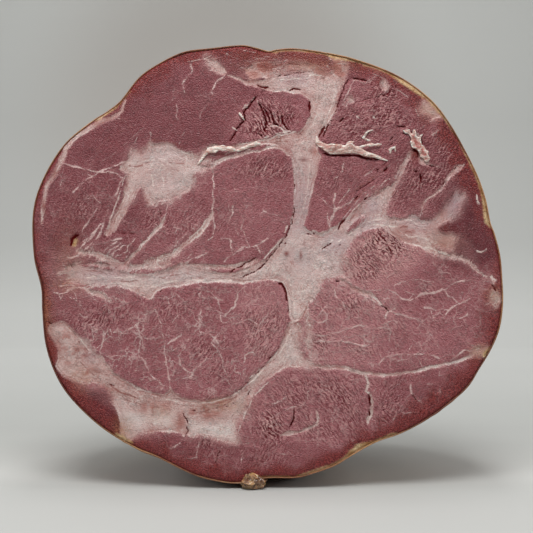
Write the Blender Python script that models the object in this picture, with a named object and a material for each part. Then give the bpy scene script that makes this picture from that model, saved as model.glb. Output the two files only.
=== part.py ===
"""Half of a boned, string-tied cooked pork shoulder, standing on its side.

The cut face is upright and looks along -Y. The casing swells behind it, is
drawn in along the lines where the strings ran, and closes at a puckered tied
end. Sizes are in millimetres until the mesh is written in metres.
"""

import math

import bmesh
import bpy
from mathutils import Vector, noise
from mathutils.geometry import delaunay_2d_cdt

MM = 0.001

# Driving sizes of the body
BODY_DEPTH = 132.0
BODY_POWER = 2.6
FACE_CENTRE = (0.0, 99.0)
TIED_END_DROP = 22.0
CASING_SWELL = 1.6
FLOOR_PRESS = 3.6

# Grooves left by the strings, as degrees round the face centre
STRING_ANGLES = (12.0, 52.0, 90.0, 135.5, 185.0, 228.0, 264.0, 298.0, 334.0)
STRING_GROOVE_DEPTH = 4.2
STRING_GROOVE_WIDTH = 9.0
LOBE_SWELL = 1.4

# The pucker where the strings were tied
PUCKER_DEPTH = 9.0
PUCKER_RADIUS = 13.0
PLEAT_COUNT = 18
PLEAT_DEPTH = 1.3

# How finely the body and the face are divided
RIM_STEPS = 126
RING_STEP_DEGREES = 5.0
LAST_RING_DEGREES = 87.0
FACE_PITCH = 6.2
LINE_PITCH = 3.2
RAIL_OFFSET = 1.7
RIM_MARGIN = 2.4
CLOSEST_POINTS = 1.25

# The nub of casing and jelly under the face
NUB_CENTRE = (-7.0, 1.2, 3.6)
NUB_RADII = (7.0, 5.6, 4.2)

# Relief of the cut face: muscles swell between the seams that part them
SEAM_DEPTH = 0.9
SEAM_WIDTH = 1.7
MUSCLE_SWELL = 1.1
MUSCLE_SWELL_REACH = 11.0
CRACK_DEPTH = 2.4
CRACK_WIDTH = 1.2
CRACK_TAPER = 3.0
FLAP_HEIGHT = 1.9
FLAP_WIDTH = 2.0
FACE_WAVE = 0.5
FACE_WAVE_LENGTH = 26.0

# The cut face's outline, anticlockwise from the middle of its foot, as x and z
OUTLINE = (
    (0.0, 4.7), (13.0, 4.9), (20.0, 6.6), (30.0, 10.1), (36.0, 13.6), (43.0, 17.8),
    (50.0, 21.3), (60.0, 24.8), (70.0, 30.0), (80.0, 36.8), (90.0, 45.4), (95.5, 54.0),
    (100.1, 61.5), (103.6, 69.0), (105.4, 76.0), (106.2, 85.0), (105.8, 95.0), (104.9, 105.0),
    (102.4, 115.0), (100.5, 120.0), (98.5, 130.0), (95.2, 140.0), (90.0, 150.8), (83.0, 163.3),
    (75.5, 173.5), (66.0, 181.6), (55.0, 188.0), (40.0, 193.5), (28.0, 196.3), (13.0, 198.4),
    (4.5, 198.0), (0.5, 197.2), (-5.0, 198.7), (-12.0, 199.9), (-25.0, 198.6), (-38.0, 196.8),
    (-50.0, 191.0), (-58.2, 185.0), (-66.1, 175.0), (-72.3, 170.0), (-80.0, 165.0),
    (-91.7, 155.0), (-101.0, 140.0), (-105.6, 125.0), (-105.3, 105.0), (-102.0, 90.5),
    (-101.5, 80.0), (-100.0, 65.0), (-95.3, 51.0), (-88.0, 40.0), (-75.0, 27.7), (-60.0, 18.4),
    (-50.0, 14.3), (-35.0, 6.9), (-25.0, 3.8), (-15.0, 2.3), (-6.5, 3.2),
)

# Seams between the muscles, where fat and tendon run
SEAMS = (
    ((-98, 75), (-90, 75), (-84, 68), (-77, 61), (-67, 51), (-55, 44), (-34, 40), (-20, 41),
     (-11, 46), (-3, 54.5), (3, 61), (7.5, 69), (9.8, 77), (8.5, 88), (5, 92.7), (-13, 92.5),
     (-40, 91), (-57, 87), (-70, 90), (-88, 90.5)),
    ((-92, 50), (-83, 46), (-70, 40), (-66, 30), (-55, 25), (-40, 27), (-20, 20.5),
     (-12, 24), (-8, 39), (0, 48), (10, 54.5), (28, 54.6), (47, 52), (66, 53), (84, 57), (97, 62)),
    ((-88, 103), (-55, 97), (-38, 101), (-17, 97), (0, 104), (8, 114), (11, 127), (11.5, 146),
     (7, 153), (-10, 155.5), (-30, 150), (-34, 138), (-43, 128), (-57, 134), (-66, 124),
     (-73, 114)),
    ((-87, 133), (-76, 142.8), (-61, 147), (-50, 155.5), (-38, 155), (-30, 150)),
    ((-28, 194), (-20, 187), (-8, 181), (8, 178.5), (17, 177), (19.3, 170), (15, 161), (7, 153)),
    ((38, 184), (32.5, 177), (27, 164), (23, 157), (21.5, 139), (16.5, 118), (25, 115.5),
     (36, 122), (46, 132), (57, 137), (64, 150)),
    ((8, 75), (15, 76), (20, 86), (27, 94), (34, 97), (36, 107), (43, 116.5), (58, 112),
     (73, 106), (92, 101), (101, 92)),
    ((68, 122), (72, 131), (81, 139.5), (88, 146)),
    ((-54, 101.5), (-36, 111), (-25, 122), (-24, 136), (-27, 146)),
)

# Open cracks between or inside the muscles
CRACKS = (
    ((-5, 177), (-9.5, 171.5), (-11, 165.5), (-18.5, 155.5)),
    ((-1, 56), (5.5, 64), (9, 72), (9.8, 77), (9, 86), (6, 92.5)),
    ((10.6, 118.5), (11.3, 122), (12, 127)),
    ((18.8, 175), (18.9, 170)),
    ((23, 158), (26, 164)),
    ((10, 179.4), (14.5, 179.8)),
    ((25, 150.6), (35, 150.4), (44, 149.4)),
    ((32, 117.5), (35, 121.5)),
    ((45.5, 42.5), (46.2, 38), (45.7, 33)),
    ((12, 35), (10, 28)),
    ((101.2, 91.5), (102.6, 89.4)),
    ((-88, 110), (-85, 114)),
    ((-37.8, 33.5), (-36, 24)),
    ((-13, 44.3), (-6, 51)),
    ((68.8, 141.5), (68.8, 139)),
    ((52, 143), (54, 144.5)),
    ((65, 155), (66, 150)),
)

# Torn sheets of tendon that stand off the face
FLAPS = (
    ((22, 157), (26, 153.5), (40, 152.4), (50, 149.6), (56, 147.2)),
    ((-31, 146.5), (-27, 152.5), (-17, 153.8)),
    ((64.5, 158), (66, 161), (68.5, 158), (70, 152), (72.5, 146)),
    ((83.5, 143), (88, 146)),
    ((42.7, 158), (45, 161), (47.7, 161.4)),
)


def clear_scene():
    """Empty the scene of whatever it opens with."""
    for obj in list(bpy.data.objects):
        bpy.data.objects.remove(obj, do_unlink=True)


def closed_curve(points, step_count):
    """Even steps along the smooth closed curve through the points."""
    fine = []
    count = len(points)
    for index in range(count):
        a, b, c, d = (Vector(points[(index + shift) % count]) for shift in (-1, 0, 1, 2))
        for part in range(12):
            t = part / 12.0
            fine.append(0.5 * (2.0 * b + (c - a) * t + (2.0 * a - 5.0 * b + 4.0 * c - d) * t * t
                               + (3.0 * b - a - 3.0 * c + d) * t ** 3))
    return even_steps(fine + [fine[0]], step_count)


def even_steps(points, step_count):
    """Points at equal distances along an open run of short straight pieces."""
    lengths = [(b - a).length for a, b in zip(points, points[1:])]
    stride = sum(lengths) / step_count
    result = []
    travelled = 0.0
    wanted = 0.0
    for start, end, length in zip(points, points[1:], lengths):
        while wanted < travelled + length and len(result) < step_count:
            result.append(start.lerp(end, (wanted - travelled) / length))
            wanted += stride
        travelled += length
    return result


def line_distance(point, line):
    """Shortest distance from a point of the face to an open line."""
    best = math.inf
    for start, end in zip(line, line[1:]):
        start = Vector(start)
        run = Vector(end) - start
        share = max(0.0, min(1.0, (point - start).dot(run) / run.length_squared))
        best = min(best, (point - start - run * share).length)
    return best


def hump(distance, width):
    """Smooth hump that is 1 on a line and fades over the width."""
    return math.exp(-(distance / width) ** 2)


def face_relief(point):
    """How far the face stands out of its plane, towards -Y, at one of its points."""
    seam_distance = min(line_distance(point, line) for line in SEAMS)
    seam = hump(seam_distance, SEAM_WIDTH)
    crack = max(crack_hump(point, line) for line in CRACKS)
    flap = max(hump(line_distance(point, line), FLAP_WIDTH) for line in FLAPS)
    wave = noise.noise(Vector((point.x, point.y, 0.0)) / FACE_WAVE_LENGTH)
    swell = 1.0 - math.exp(-seam_distance / MUSCLE_SWELL_REACH)
    open_face = (1.0 - crack) * (1.0 - flap)
    return FLAP_HEIGHT * flap * (1.0 - crack) - CRACK_DEPTH * crack + open_face * (
        FACE_WAVE * wave + MUSCLE_SWELL * swell - SEAM_DEPTH * seam)


def crack_hump(point, line):
    """Hump of a crack that closes towards its two ends."""
    to_end = min((point - Vector(line[0])).length, (point - Vector(line[-1])).length)
    return hump(line_distance(point, line), CRACK_WIDTH) * min(1.0, 0.4 + to_end / CRACK_TAPER)


def stations_on(line):
    """Evenly spaced points on a line, each with its direction."""
    points = [Vector(corner) for corner in line]
    length = sum((b - a).length for a, b in zip(points, points[1:]))
    steps = max(2, round(length / LINE_PITCH))
    spots = even_steps(points, steps) + [points[-1]]
    ends = [spots[0]] + spots + [spots[-1]]
    return [(spot, (after - before).normalized())
            for before, spot, after in zip(ends, spots, ends[2:])]


def inside(point, ring):
    """True where the point lies inside the closed ring."""
    crossings = 0
    for a, b in zip(ring, ring[1:] + ring[:1]):
        if (a.y > point.y) != (b.y > point.y):
            if point.x < a.x + (point.y - a.y) * (b.x - a.x) / (b.y - a.y):
                crossings += 1
    return crossings % 2 == 1


def face_points(rim):
    """Points that divide the face: along its lines first, then an even field."""
    wanted = []
    for line in CRACKS + FLAPS + SEAMS:
        for spot, run in stations_on(line):
            side = Vector((-run.y, run.x)) * RAIL_OFFSET
            wanted += [spot, spot + side, spot - side]
    rows = int(220.0 / (FACE_PITCH * 0.866))
    for row in range(rows):
        shift = 0.5 * FACE_PITCH * (row % 2)
        wanted += [Vector((-110.0 + shift + FACE_PITCH * column, FACE_PITCH * 0.866 * row))
                   for column in range(int(220.0 / FACE_PITCH) + 1)]
    kept = []
    closed = rim + [rim[0]]
    line_points = 3 * sum(len(stations_on(line)) for line in CRACKS + FLAPS + SEAMS)
    for index, point in enumerate(wanted):
        gap = CLOSEST_POINTS if index < line_points else 0.55 * FACE_PITCH
        if not inside(point, rim) or line_distance(point, closed) < RIM_MARGIN:
            continue
        if all((point - other).length > gap for other in kept):
            kept.append(point)
    return kept


def string_pull(angle):
    """Signed swell of the casing round the body: lobes between drawn-in lines."""
    nearest = min(abs((angle - string + 180.0) % 360.0 - 180.0) for string in STRING_ANGLES)
    arc = math.radians(nearest) * 100.0
    return LOBE_SWELL * (1.0 - hump(arc, 2.2 * STRING_GROOVE_WIDTH)) - STRING_GROOVE_DEPTH * hump(
        arc, STRING_GROOVE_WIDTH)


def body_point(rim_point, sweep):
    """A point of the casing: sweep runs from 0 at the face to 90 degrees at the tied end."""
    along = math.sin(sweep)
    across = (1.0 - along ** BODY_POWER) ** (1.0 / BODY_POWER) if along < 1.0 else 0.0
    centre = Vector(FACE_CENTRE)
    offset = rim_point - centre
    angle = math.degrees(math.atan2(offset.y, offset.x)) % 360.0
    behind = min(1.0, 5.0 * along)
    pleats = PLEAT_DEPTH * math.cos(math.radians(PLEAT_COUNT * angle)) * along ** 10
    swell = CASING_SWELL * behind * (1.0 - along) + behind * string_pull(angle) + pleats
    radius = (offset.length + swell) * across
    x = centre.x + radius * offset.x / offset.length
    drop = TIED_END_DROP * along ** 1.5 + FLOOR_PRESS * behind
    z = centre.y - drop + radius * offset.y / offset.length
    y = BODY_DEPTH * along - PUCKER_DEPTH * hump(radius, PUCKER_RADIUS)
    return Vector((x, y, max(z, 0.0)))


def make_body():
    """The meat in its casing, as one closed mesh."""
    mesh = bmesh.new()
    rim = closed_curve(OUTLINE, RIM_STEPS)
    sweeps = [RING_STEP_DEGREES * step for step in range(int(LAST_RING_DEGREES / RING_STEP_DEGREES) + 1)]
    sweeps.append(LAST_RING_DEGREES)
    rings = [[mesh.verts.new(body_point(spot, math.radians(sweep))) for spot in rim]
             for sweep in sweeps]
    for front, back in zip(rings, rings[1:]):
        for index in range(RIM_STEPS):
            after = (index + 1) % RIM_STEPS
            mesh.faces.new((front[index], front[after], back[after], back[index]))
    pole = mesh.verts.new(body_point(rim[0], math.radians(90.0)))
    for index in range(RIM_STEPS):
        mesh.faces.new((rings[-1][index], rings[-1][(index + 1) % RIM_STEPS], pole))
    fill_face(mesh, rim, rings[0])
    bmesh.ops.triangulate(mesh, faces=mesh.faces[:])
    bmesh.ops.recalc_face_normals(mesh, faces=mesh.faces[:])
    return mesh_object("spalla_cotta", mesh)


def fill_face(mesh, rim, rim_verts):
    """Close the front with the cut face and its relief."""
    inner = face_points(rim)
    outline = list(range(len(rim)))
    edges = [(index, (index + 1) % len(rim)) for index in outline]
    spots, _, triangles, _, _, _ = delaunay_2d_cdt(rim + inner, edges, [], 1, 1e-5)
    verts = list(rim_verts)
    for spot in spots[len(rim):]:
        verts.append(mesh.verts.new((spot.x, -face_relief(spot), spot.y)))
    for triangle in triangles:
        mesh.faces.new([verts[corner] for corner in triangle])


def make_nub():
    """The small lump of jelly and casing at the foot of the face."""
    mesh = bmesh.new()
    bmesh.ops.create_icosphere(mesh, subdivisions=3, radius=1.0)
    for vert in mesh.verts:
        lump = 1.0 + 0.16 * noise.noise(vert.co * 1.7)
        spot = Vector([centre + radius * lump * part
                       for centre, radius, part in zip(NUB_CENTRE, NUB_RADII, vert.co)])
        spot.z = max(spot.z, 0.2)
        vert.co = spot
    return mesh_object("nub", mesh)


def mesh_object(name, mesh):
    """A scene object in metres from a mesh in millimetres."""
    bmesh.ops.scale(mesh, vec=(MM, MM, MM), verts=mesh.verts[:])
    data = bpy.data.meshes.new(name)
    mesh.to_mesh(data)
    mesh.free()
    obj = bpy.data.objects.new(name, data)
    bpy.context.scene.collection.objects.link(obj)
    return obj


def fuse(body, lump):
    """Join the lump to the body as one solid and drop the spare object."""
    union = body.modifiers.new("fuse", "BOOLEAN")
    union.operation = "UNION"
    union.object = lump
    bpy.context.view_layer.update()
    joined = bpy.data.meshes.new_from_object(
        body.evaluated_get(bpy.context.evaluated_depsgraph_get()))
    body.modifiers.clear()
    body.data = joined
    bpy.data.objects.remove(lump, do_unlink=True)


def centre_on_floor(obj):
    """Put the origin under the middle of the part's box, at its foot."""
    spots = [vert.co for vert in obj.data.vertices]
    low = [min(spot[axis] for spot in spots) for axis in range(3)]
    high = [max(spot[axis] for spot in spots) for axis in range(3)]
    middle = Vector(((low[0] + high[0]) / 2.0, (low[1] + high[1]) / 2.0, low[2]))
    for vert in obj.data.vertices:
        vert.co -= middle


def cooked_pork():
    """Moist pink-brown cooked pork."""
    material = bpy.data.materials.new("cooked_pork")
    material.use_nodes = True
    shader = material.node_tree.nodes["Principled BSDF"]
    shader.inputs["Base Color"].default_value = (0.33, 0.13, 0.12, 1.0)
    shader.inputs["Roughness"].default_value = 0.42
    shader.inputs["Metallic"].default_value = 0.0
    return material


def main():
    clear_scene()
    body = make_body()
    fuse(body, make_nub())
    centre_on_floor(body)
    body.data.materials.clear()
    body.data.materials.append(cooked_pork())
    body.data.shade_smooth()
    body.data.set_sharp_from_angle(angle=math.radians(40.0))


main()
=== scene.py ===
"""Looks of the cooked pork shoulder half: its cut face, casing, torn tendon, jelly, light and camera.

Traced shapes are in millimetres on the cut face: across from its middle, then up from
the floor. They are turned into metres of the shared frame when a mesh is made.
"""

import math
import random
from types import SimpleNamespace

import bmesh
import bpy
import numpy as np
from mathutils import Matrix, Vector
from mathutils.geometry import delaunay_2d_cdt


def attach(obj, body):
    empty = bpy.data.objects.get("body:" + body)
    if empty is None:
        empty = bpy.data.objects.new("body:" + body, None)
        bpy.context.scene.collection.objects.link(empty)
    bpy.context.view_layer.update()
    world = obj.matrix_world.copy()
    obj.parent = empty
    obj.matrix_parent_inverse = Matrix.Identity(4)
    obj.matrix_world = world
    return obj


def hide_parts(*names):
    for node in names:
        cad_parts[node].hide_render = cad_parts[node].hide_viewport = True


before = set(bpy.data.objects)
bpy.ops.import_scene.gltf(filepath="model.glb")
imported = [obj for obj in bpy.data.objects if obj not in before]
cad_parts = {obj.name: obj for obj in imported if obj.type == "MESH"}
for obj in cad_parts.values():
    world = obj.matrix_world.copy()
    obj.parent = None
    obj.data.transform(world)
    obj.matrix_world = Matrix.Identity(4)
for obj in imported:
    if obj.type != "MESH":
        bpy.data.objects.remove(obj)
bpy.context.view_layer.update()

# A millimetre, in metres
MM = 0.001

# The body, in mm and degrees
FACE_Y = -62.9
FACE_X = -0.05
BODY_DEPTH = 132.0
BODY_POWER = 2.6
FACE_CENTRE = (0.0, 99.0)
TIED_END_DROP = 22.0
CASING_SWELL = 1.6
LOBE_SWELL = 1.4
UNDERSIDE_SHARE = 0.35
FLOOR_PRESS = 2.2
STRING_ANGLES = (12.0, 52.0, 90.0, 135.5, 185.0, 228.0, 264.0, 298.0, 334.0)
STRING_GROOVE_DEPTH = 4.2
STRING_GROOVE_WIDTH = 9.0
PUCKER_DEPTH = 9.0
PUCKER_RADIUS = 13.0

# The photograph's frame: the cut face at 0.45 mm to a pixel
PIXEL_MM = 0.45
IMAGE_SIDE = 533
FACE_MIDDLE_PIXEL = 267.5
FLOOR_PIXEL = 489.0
CAMERA_DISTANCE = 480.0
SENSOR_WIDTH = 36.0
CLIP_START = 0.01

# The paper's shape, in metres
PAPER_HALF_WIDTH = 2.4
PAPER_FRONT = -1.6
BEND_START = 0.75
BEND = 0.55
BEND_STEPS = 24
WALL_TOP = 2.6
# The paper's grey along the floor and up the wall, with a painted shadow on the floor under and behind the
# object and painted light and shade up the wall: mm back from the origin plus mm up, grey
PAPER_GREYS_AND_PAINTED_SHADE = (
    (-200, 162), (-90, 168), (-33, 179), (9, 169), (59, 158), (118, 154), (234, 162), (489, 184),
    (736, 207), (992, 208), (1259, 196), (1609, 200), (1900, 215),
)
# The middle of the painted shadow on the wall above the object, in mm
PAPER_SHADE = (-74.0, 1260.0, 365.0)

# Lamps, in metres: name, place, target, side, power
LAMPS = (
    ("softbox", (0.02, 0.28, 1.0), (0.0, 0.02, 0.0), 1.3, 3.7),
    ("left_card", (-0.9, 0.05, 0.42), (0.0, 0.02, 0.0), 0.5, 3.6),
    ("right_card", (0.9, 0.05, 0.42), (0.0, 0.02, 0.0), 0.5, 3.8),
    ("top_lamp", (0.0, 0.02, 1.2), (0.0, 0.0, 0.06), 0.25, 2.8),
    ("front_card", (-0.05, -0.52, 0.85), (0.0, -0.06, 0.1), 0.4, 7.2),
)
ROOM_COLOUR = (0.80, 0.80, 0.79, 1.0)
ROOM_STRENGTH = 0.33

# The cut's mesh, in mm: its pitch, its field, and the cells that keep one traced point each
FINE_PITCH = 0.8
RIM_LENGTH = 630.0
RIM_CLEARANCE = 0.55
FACE_INSET = 0.7
SLAB_DEPTH = 3.0
OUTLINE_STEPS = 240
CURVE_STEPS = 16
RIM_STEP = 0.8
ROW_RISE = 0.866
FIELD_JITTER = 0.18
FIELD_LOW = (-108.0, 0.0)
FIELD_HIGH = (108.0, 202.0)
CELL = 0.45
CELL_ORIGIN = (112.0, 2.0)
CELL_COUNTS = (520, 500)

# How far to each side of a traced line its points lie; a crack's are shares of its width
RAIL_PITCH = 0.6
EDGE_RAILS = (-0.3, 0.3)
BAND_RAILS = (-0.6, 0.0, 0.6)
VEIN_RAILS = (-0.5, 0.0, 0.5)
TWIG_RAILS = (-0.45, 0.0, 0.45)
FAT_LINE_RAILS = (-0.4, 0.0, 0.4)
CRACK_RAILS = (-1.0, -0.45, 0.0, 0.45, 1.0)

# The farthest that the cut's fields are measured, in mm, and the ends of two of them
FAT_REACH = 9.0
VEIN_REACH = 6.0
TWIG_REACH = 9.0
LEAST_FRAY = 0.22
MOST_COARSE = 1.1

# The bake's square: its margin, the face's size in mm and in the square, the disc of the slab's back
SQUARE_MARGIN = 0.012
FACE_SIZE = (214.0, 200.0)
FACE_IN_SQUARE = (0.95, 0.976)
BACK_DISC = (0.985, 0.02)
BACK_DISC_REACH = (0.005, 0.01)

# The casing's mesh: columns and rows, how far it sweeps, and its lip's rings as inset and place back
FINE_CASING = (540, 142)
CASING_SWEEP = 88.3
TIP_SINK = 0.8
LIP_BACK = 0.9
LIP_RINGS = ((1.3, 6.0), (0.75, 1.0), (0.55, 0.25), (0.3, 0.05), (0.05, 0.3))

# The torn sheets' mesh, in mm
SHEET_PITCH = 0.4
SHEET_EDGE_PITCH = 0.35
SHEET_CLEARANCE = 0.22

# The lump of jelly, in mm: its middle and reach, its unevenness and its lowest point
JELLY_CENTRE = (-6.6, 1.4, 3.4)
JELLY_RADII = (5.4, 5.0, 3.9)
JELLY_LUMPS = 0.30
JELLY_FOOT = 0.15

# The meat's grain: its directions, and the directions of its rows with the grains that follow them
GRAIN_TURNS = (-50.0, 15.0, 65.0)
ROW_TURNS = ((-56.0, (0,)), (62.0, (1, 2)))
ROW_PITCH = 1.45

# Colours along a run from dark to light
LEAN_RAMP = (
    (0.0, (98, 32, 40)), (0.3, (139, 76, 81)), (0.55, (164, 102, 107)), (0.8, (189, 134, 134)),
    (1.0, (212, 170, 164)),
)
FAT_RAMP = (
    (0.0, (160, 108, 104)), (0.3, (187, 150, 145)), (0.6, (208, 181, 176)), (1.0, (225, 210, 205)),
)
# Creases in the fat: size of their noise, where they begin, how strong they are, colour
CREASES = ((0.20, 0.49, 0.65, (234, 220, 212)), (0.27, 0.49, 0.60, (154, 98, 84)))

# The cut's outline, anticlockwise from its foot
OUTLINE = (
    (0, 4.7), (13, 4.9), (20, 6.6), (30, 10.1), (36, 13.6), (43, 17.8), (50, 21.3), (60, 24.8), (70, 30),
    (80, 36.8), (90, 45.4), (95.5, 54), (100.1, 61.5), (103.6, 69), (105.4, 76), (106.2, 85), (105.8, 95),
    (104.9, 105), (102.4, 115), (100.5, 120), (98.5, 130), (95.2, 140), (90, 150.8), (83, 163.3),
    (75.5, 173.5), (66, 181.6), (55, 188), (40, 193.5), (28, 196.3), (13, 198.4), (4.5, 198), (0.5, 197.2),
    (-5, 198.7), (-12, 199.9), (-25, 198.6), (-38, 196.8), (-50, 191), (-58.2, 185), (-66.1, 175),
    (-72.3, 170), (-80, 165), (-91.7, 155), (-101, 140), (-105.6, 125), (-105.3, 105), (-102, 90.5),
    (-101.5, 80), (-100, 65), (-95.3, 51), (-88, 40), (-75, 27.7), (-60, 18.4), (-50, 14.3), (-35, 6.9),
    (-25, 3.8), (-15, 2.3), (-6.5, 3.2),
)

# Sheets of fat that the cut shows: their outlines
LOWER_ARC = (
    (-98, 74), (-95, 75), (-92, 75.5), (-90, 74.5), (-88, 72), (-86, 70), (-84, 68), (-80.5, 67.5),
    (-79.5, 63), (-77, 61), (-74.5, 60), (-73.5, 57), (-71, 55.5), (-70, 53.5), (-67, 51), (-61, 47.3),
    (-55, 44.5), (-50, 43), (-46, 43), (-44, 46), (-41, 42.5), (-38, 41), (-34, 40.2), (-28, 40),
    (-20, 40.8), (-15, 43.5), (-11, 46), (-6, 51), (-3, 54.5), (0, 57), (2, 59.5), (4, 62), (5.5, 64),
    (7.5, 69), (9.8, 76), (12.5, 76), (15.3, 74), (15.8, 70), (15, 66.5), (14.8, 62.5), (16.5, 59.8),
    (19, 58), (21.5, 56), (25, 55.2), (20, 54.6), (15, 54.4), (10, 54.7), (6, 53.8), (3, 51.8), (-1, 48.6),
    (-5, 45), (-6.5, 42.5), (-8, 39), (-9.5, 33), (-12, 31.5), (-13, 29), (-13.4, 26), (-12.4, 22),
    (-12, 20.2), (-16.2, 19.9), (-20.4, 20.8), (-25.5, 23.2), (-30.7, 23.7), (-34.9, 23), (-36.4, 24.8),
    (-37.8, 23.4), (-40.1, 25), (-44.2, 25.9), (-50.5, 25.6), (-56.7, 24), (-59.8, 22.5), (-62.9, 21),
    (-66.4, 24.2), (-65.8, 29.6), (-67, 33.8), (-69, 38.8), (-71.4, 43.4), (-74.4, 46.4), (-78.4, 47.8),
    (-82.7, 46.8), (-86, 48.2), (-89, 49.6), (-93, 51.2), (-96.2, 56), (-94.8, 57.5), (-94.3, 60),
    (-94.5, 64), (-96, 65.5), (-97.5, 69), (-99, 71),
)
LEFT_ARM = (
    (-92, 100), (-86, 101.5), (-78, 100), (-70, 98.6), (-62, 97.2), (-55, 96.7), (-50, 97.8), (-45, 99.5),
    (-38, 101.3), (-35, 100), (-27, 99.3), (-22, 97.3), (-17, 97.2), (-12, 98.5), (-6, 101.5), (0, 104),
    (4, 100), (2, 94.2), (0, 93.9), (-8, 93), (-11, 91.6), (-13, 92.5), (-25, 92.8), (-30, 92.5), (-37, 92),
    (-40, 91), (-45, 90.2), (-48, 89.5), (-51, 88), (-52, 84.5), (-57, 87), (-60, 88.5), (-65, 90.8),
    (-70, 90), (-82, 91), (-88, 92), (-91, 95),
)
CENTRE = (
    (0, 94), (-2, 100), (0, 104), (3, 107), (6, 111.5), (8.5, 115), (9.8, 118), (13, 119.5), (17, 118),
    (17.4, 116.4), (21, 115.8), (23, 115.3), (25, 115.5), (27, 116.5), (28, 117.5), (31, 118), (32, 119.5),
    (36, 122.5), (39, 125.5), (40.5, 127), (43, 129.5), (46, 132), (50, 134), (55.5, 136.8), (57, 135),
    (55.5, 132), (54, 128), (53, 124), (55, 121.3), (57, 122.5), (60, 121.5), (62, 122), (65, 124),
    (67, 123.5), (68.5, 122), (70, 121.5), (73, 121), (76, 122.5), (79, 125.5), (81, 128), (82.5, 130.5),
    (84, 132), (85.5, 134.5), (86.6, 132.5), (88.3, 134), (89, 132), (87.5, 128), (86, 126), (85, 123.5),
    (83, 121), (79, 119), (76.8, 118), (76.5, 116.5), (78, 115.3), (80, 114.3), (82, 115), (84, 114),
    (84.5, 110), (83.5, 107.3), (85, 105.8), (88, 104.4), (90.5, 102.2), (88, 102.3), (84, 103), (80, 104),
    (76, 104.8), (73, 106), (70, 107.5), (66, 109.5), (63, 110.3), (60, 111.5), (57, 113.8), (55, 115.8),
    (52, 117), (48, 117), (43, 116.3), (41, 114.5), (39, 112), (37, 109), (35, 105), (34.5, 102),
    (34.5, 98), (36, 96), (32, 95.5), (30, 94), (27, 94), (25, 92), (23, 90), (21, 87), (20, 85), (18, 82),
    (17, 80), (16.2, 77.5), (15, 75.5), (12.5, 75), (9.9, 76), (9.6, 82), (9, 86), (8.3, 90), (6.6, 92.9),
    (3, 93.6),
)
TRUNK = (
    (10, 192.4), (15, 192), (20, 191), (22, 190.5), (24, 189.5), (26, 188.8), (27.5, 187.5), (30, 188.5),
    (30.5, 191.5), (28.6, 193.5), (28, 196.1), (35, 194.6), (36.5, 192.2), (37, 189.5), (36, 187),
    (35, 184), (33.5, 181), (32.5, 177), (31, 171), (28.5, 166), (26, 162), (23.5, 158.5), (22.3, 154),
    (23.5, 151), (24.4, 150), (23, 147), (22.5, 143), (21.5, 139), (20.5, 134), (19.5, 130), (18.5, 125),
    (17, 121), (16, 116), (10, 116), (10.5, 121), (11.5, 127), (12, 133), (11.8, 140), (11.5, 146),
    (10.5, 149), (9, 151.5), (5, 154.5), (0, 155.2), (-3, 156.6), (5, 158.8), (10, 160), (14, 160),
    (15.5, 162), (17, 164), (18, 166), (19.5, 168), (19.6, 173), (19, 175), (17, 177), (14, 178.2),
    (11, 178), (8, 178.5), (3, 179), (0, 179.3), (-4, 180.3), (-8, 181.4), (-14, 184.5), (-20, 186.6),
    (-15, 186), (-10, 184), (-5, 183.6), (0, 184.5), (2, 186.5), (5, 188), (7, 190.5),
)
PATCH = (
    (-66.4, 144.6), (-65, 146.4), (-63.8, 147.9), (-62, 150), (-61, 151.6), (-61.7, 153.4), (-59.6, 152.2),
    (-57.4, 152.2), (-55.2, 153.4), (-53.8, 154.4), (-52.8, 157.4), (-51.4, 155.6), (-49.2, 155.6),
    (-44.6, 155.7), (-40.7, 153.9), (-36.7, 152), (-32.1, 150.2), (-30.2, 148.6), (-31.6, 146.4),
    (-27.5, 145.4), (-27.6, 143.8), (-29.4, 142), (-32.7, 141.6), (-33.7, 137.7), (-35.4, 133.7),
    (-38, 133), (-39.6, 130.6), (-41, 132), (-43, 127.6), (-44.6, 129.8), (-46.6, 129.4), (-48.6, 130),
    (-51.6, 126.8), (-53.9, 129.1), (-55.5, 133.1), (-56.5, 135.7), (-58.2, 134), (-60.2, 131),
    (-63.1, 125.1), (-65.1, 121), (-69, 115.8), (-72.5, 114), (-73.5, 115), (-72, 118), (-69, 123),
    (-66.4, 127.5), (-64.6, 133), (-63.6, 138), (-62.8, 141.4), (-66.4, 143.2),
)
SMALL_FAT = (
    ((-9, 186), (-10, 189), (-7.5, 191.6), (-2, 192.8), (3, 192.6), (7, 191), (7.5, 188), (4, 185.4),
     (-2, 184.2), (-6, 184.4)),
    ((-28.5, 195.2), (-24, 194), (-20, 191), (-18, 187), (-20.5, 186), (-23, 187.5), (-26, 190),
     (-28.3, 193)),
    ((70.5, 175.3), (72, 174.5), (75, 173), (77.5, 170), (79.5, 167), (76, 165.8), (74.5, 166),
     (72.5, 167.5), (70, 168.8), (68.5, 170), (69, 172.5)),
    ((100.5, 89), (103.5, 88.5), (105, 86.5), (105.5, 85), (104, 83.5), (103, 81), (101, 82), (100.5, 85)),
    ((91.5, 64), (96, 64.2), (101.6, 64), (100, 61), (98.5, 59.2), (96, 60), (92.5, 60.6)),
    ((99.3, 95.5), (101, 97), (101.5, 95), (103.5, 94.5), (102.5, 93), (101.3, 91.8), (101, 93.5)),
    ((83.3, 142.5), (84, 145.5), (86, 145.8), (88.5, 146.8), (88, 145.2), (86, 143), (84, 141.8)),
    ((35.8, 175), (36.5, 177.2), (38.8, 175.2), (38, 173.6), (36.6, 173.8)),
    ((51, 183.5), (53.5, 184.5), (55, 181), (53.5, 178.6), (51.6, 180.2)),
    ((-86, 91), (-82, 89.5), (-78, 87), (-72.5, 84.5), (-69.5, 83.5), (-72, 86.5), (-77, 90), (-82, 92.5)),
)
ALL_FAT = (LOWER_ARC, LEFT_ARM, CENTRE, TRUNK, PATCH) + SMALL_FAT
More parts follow.
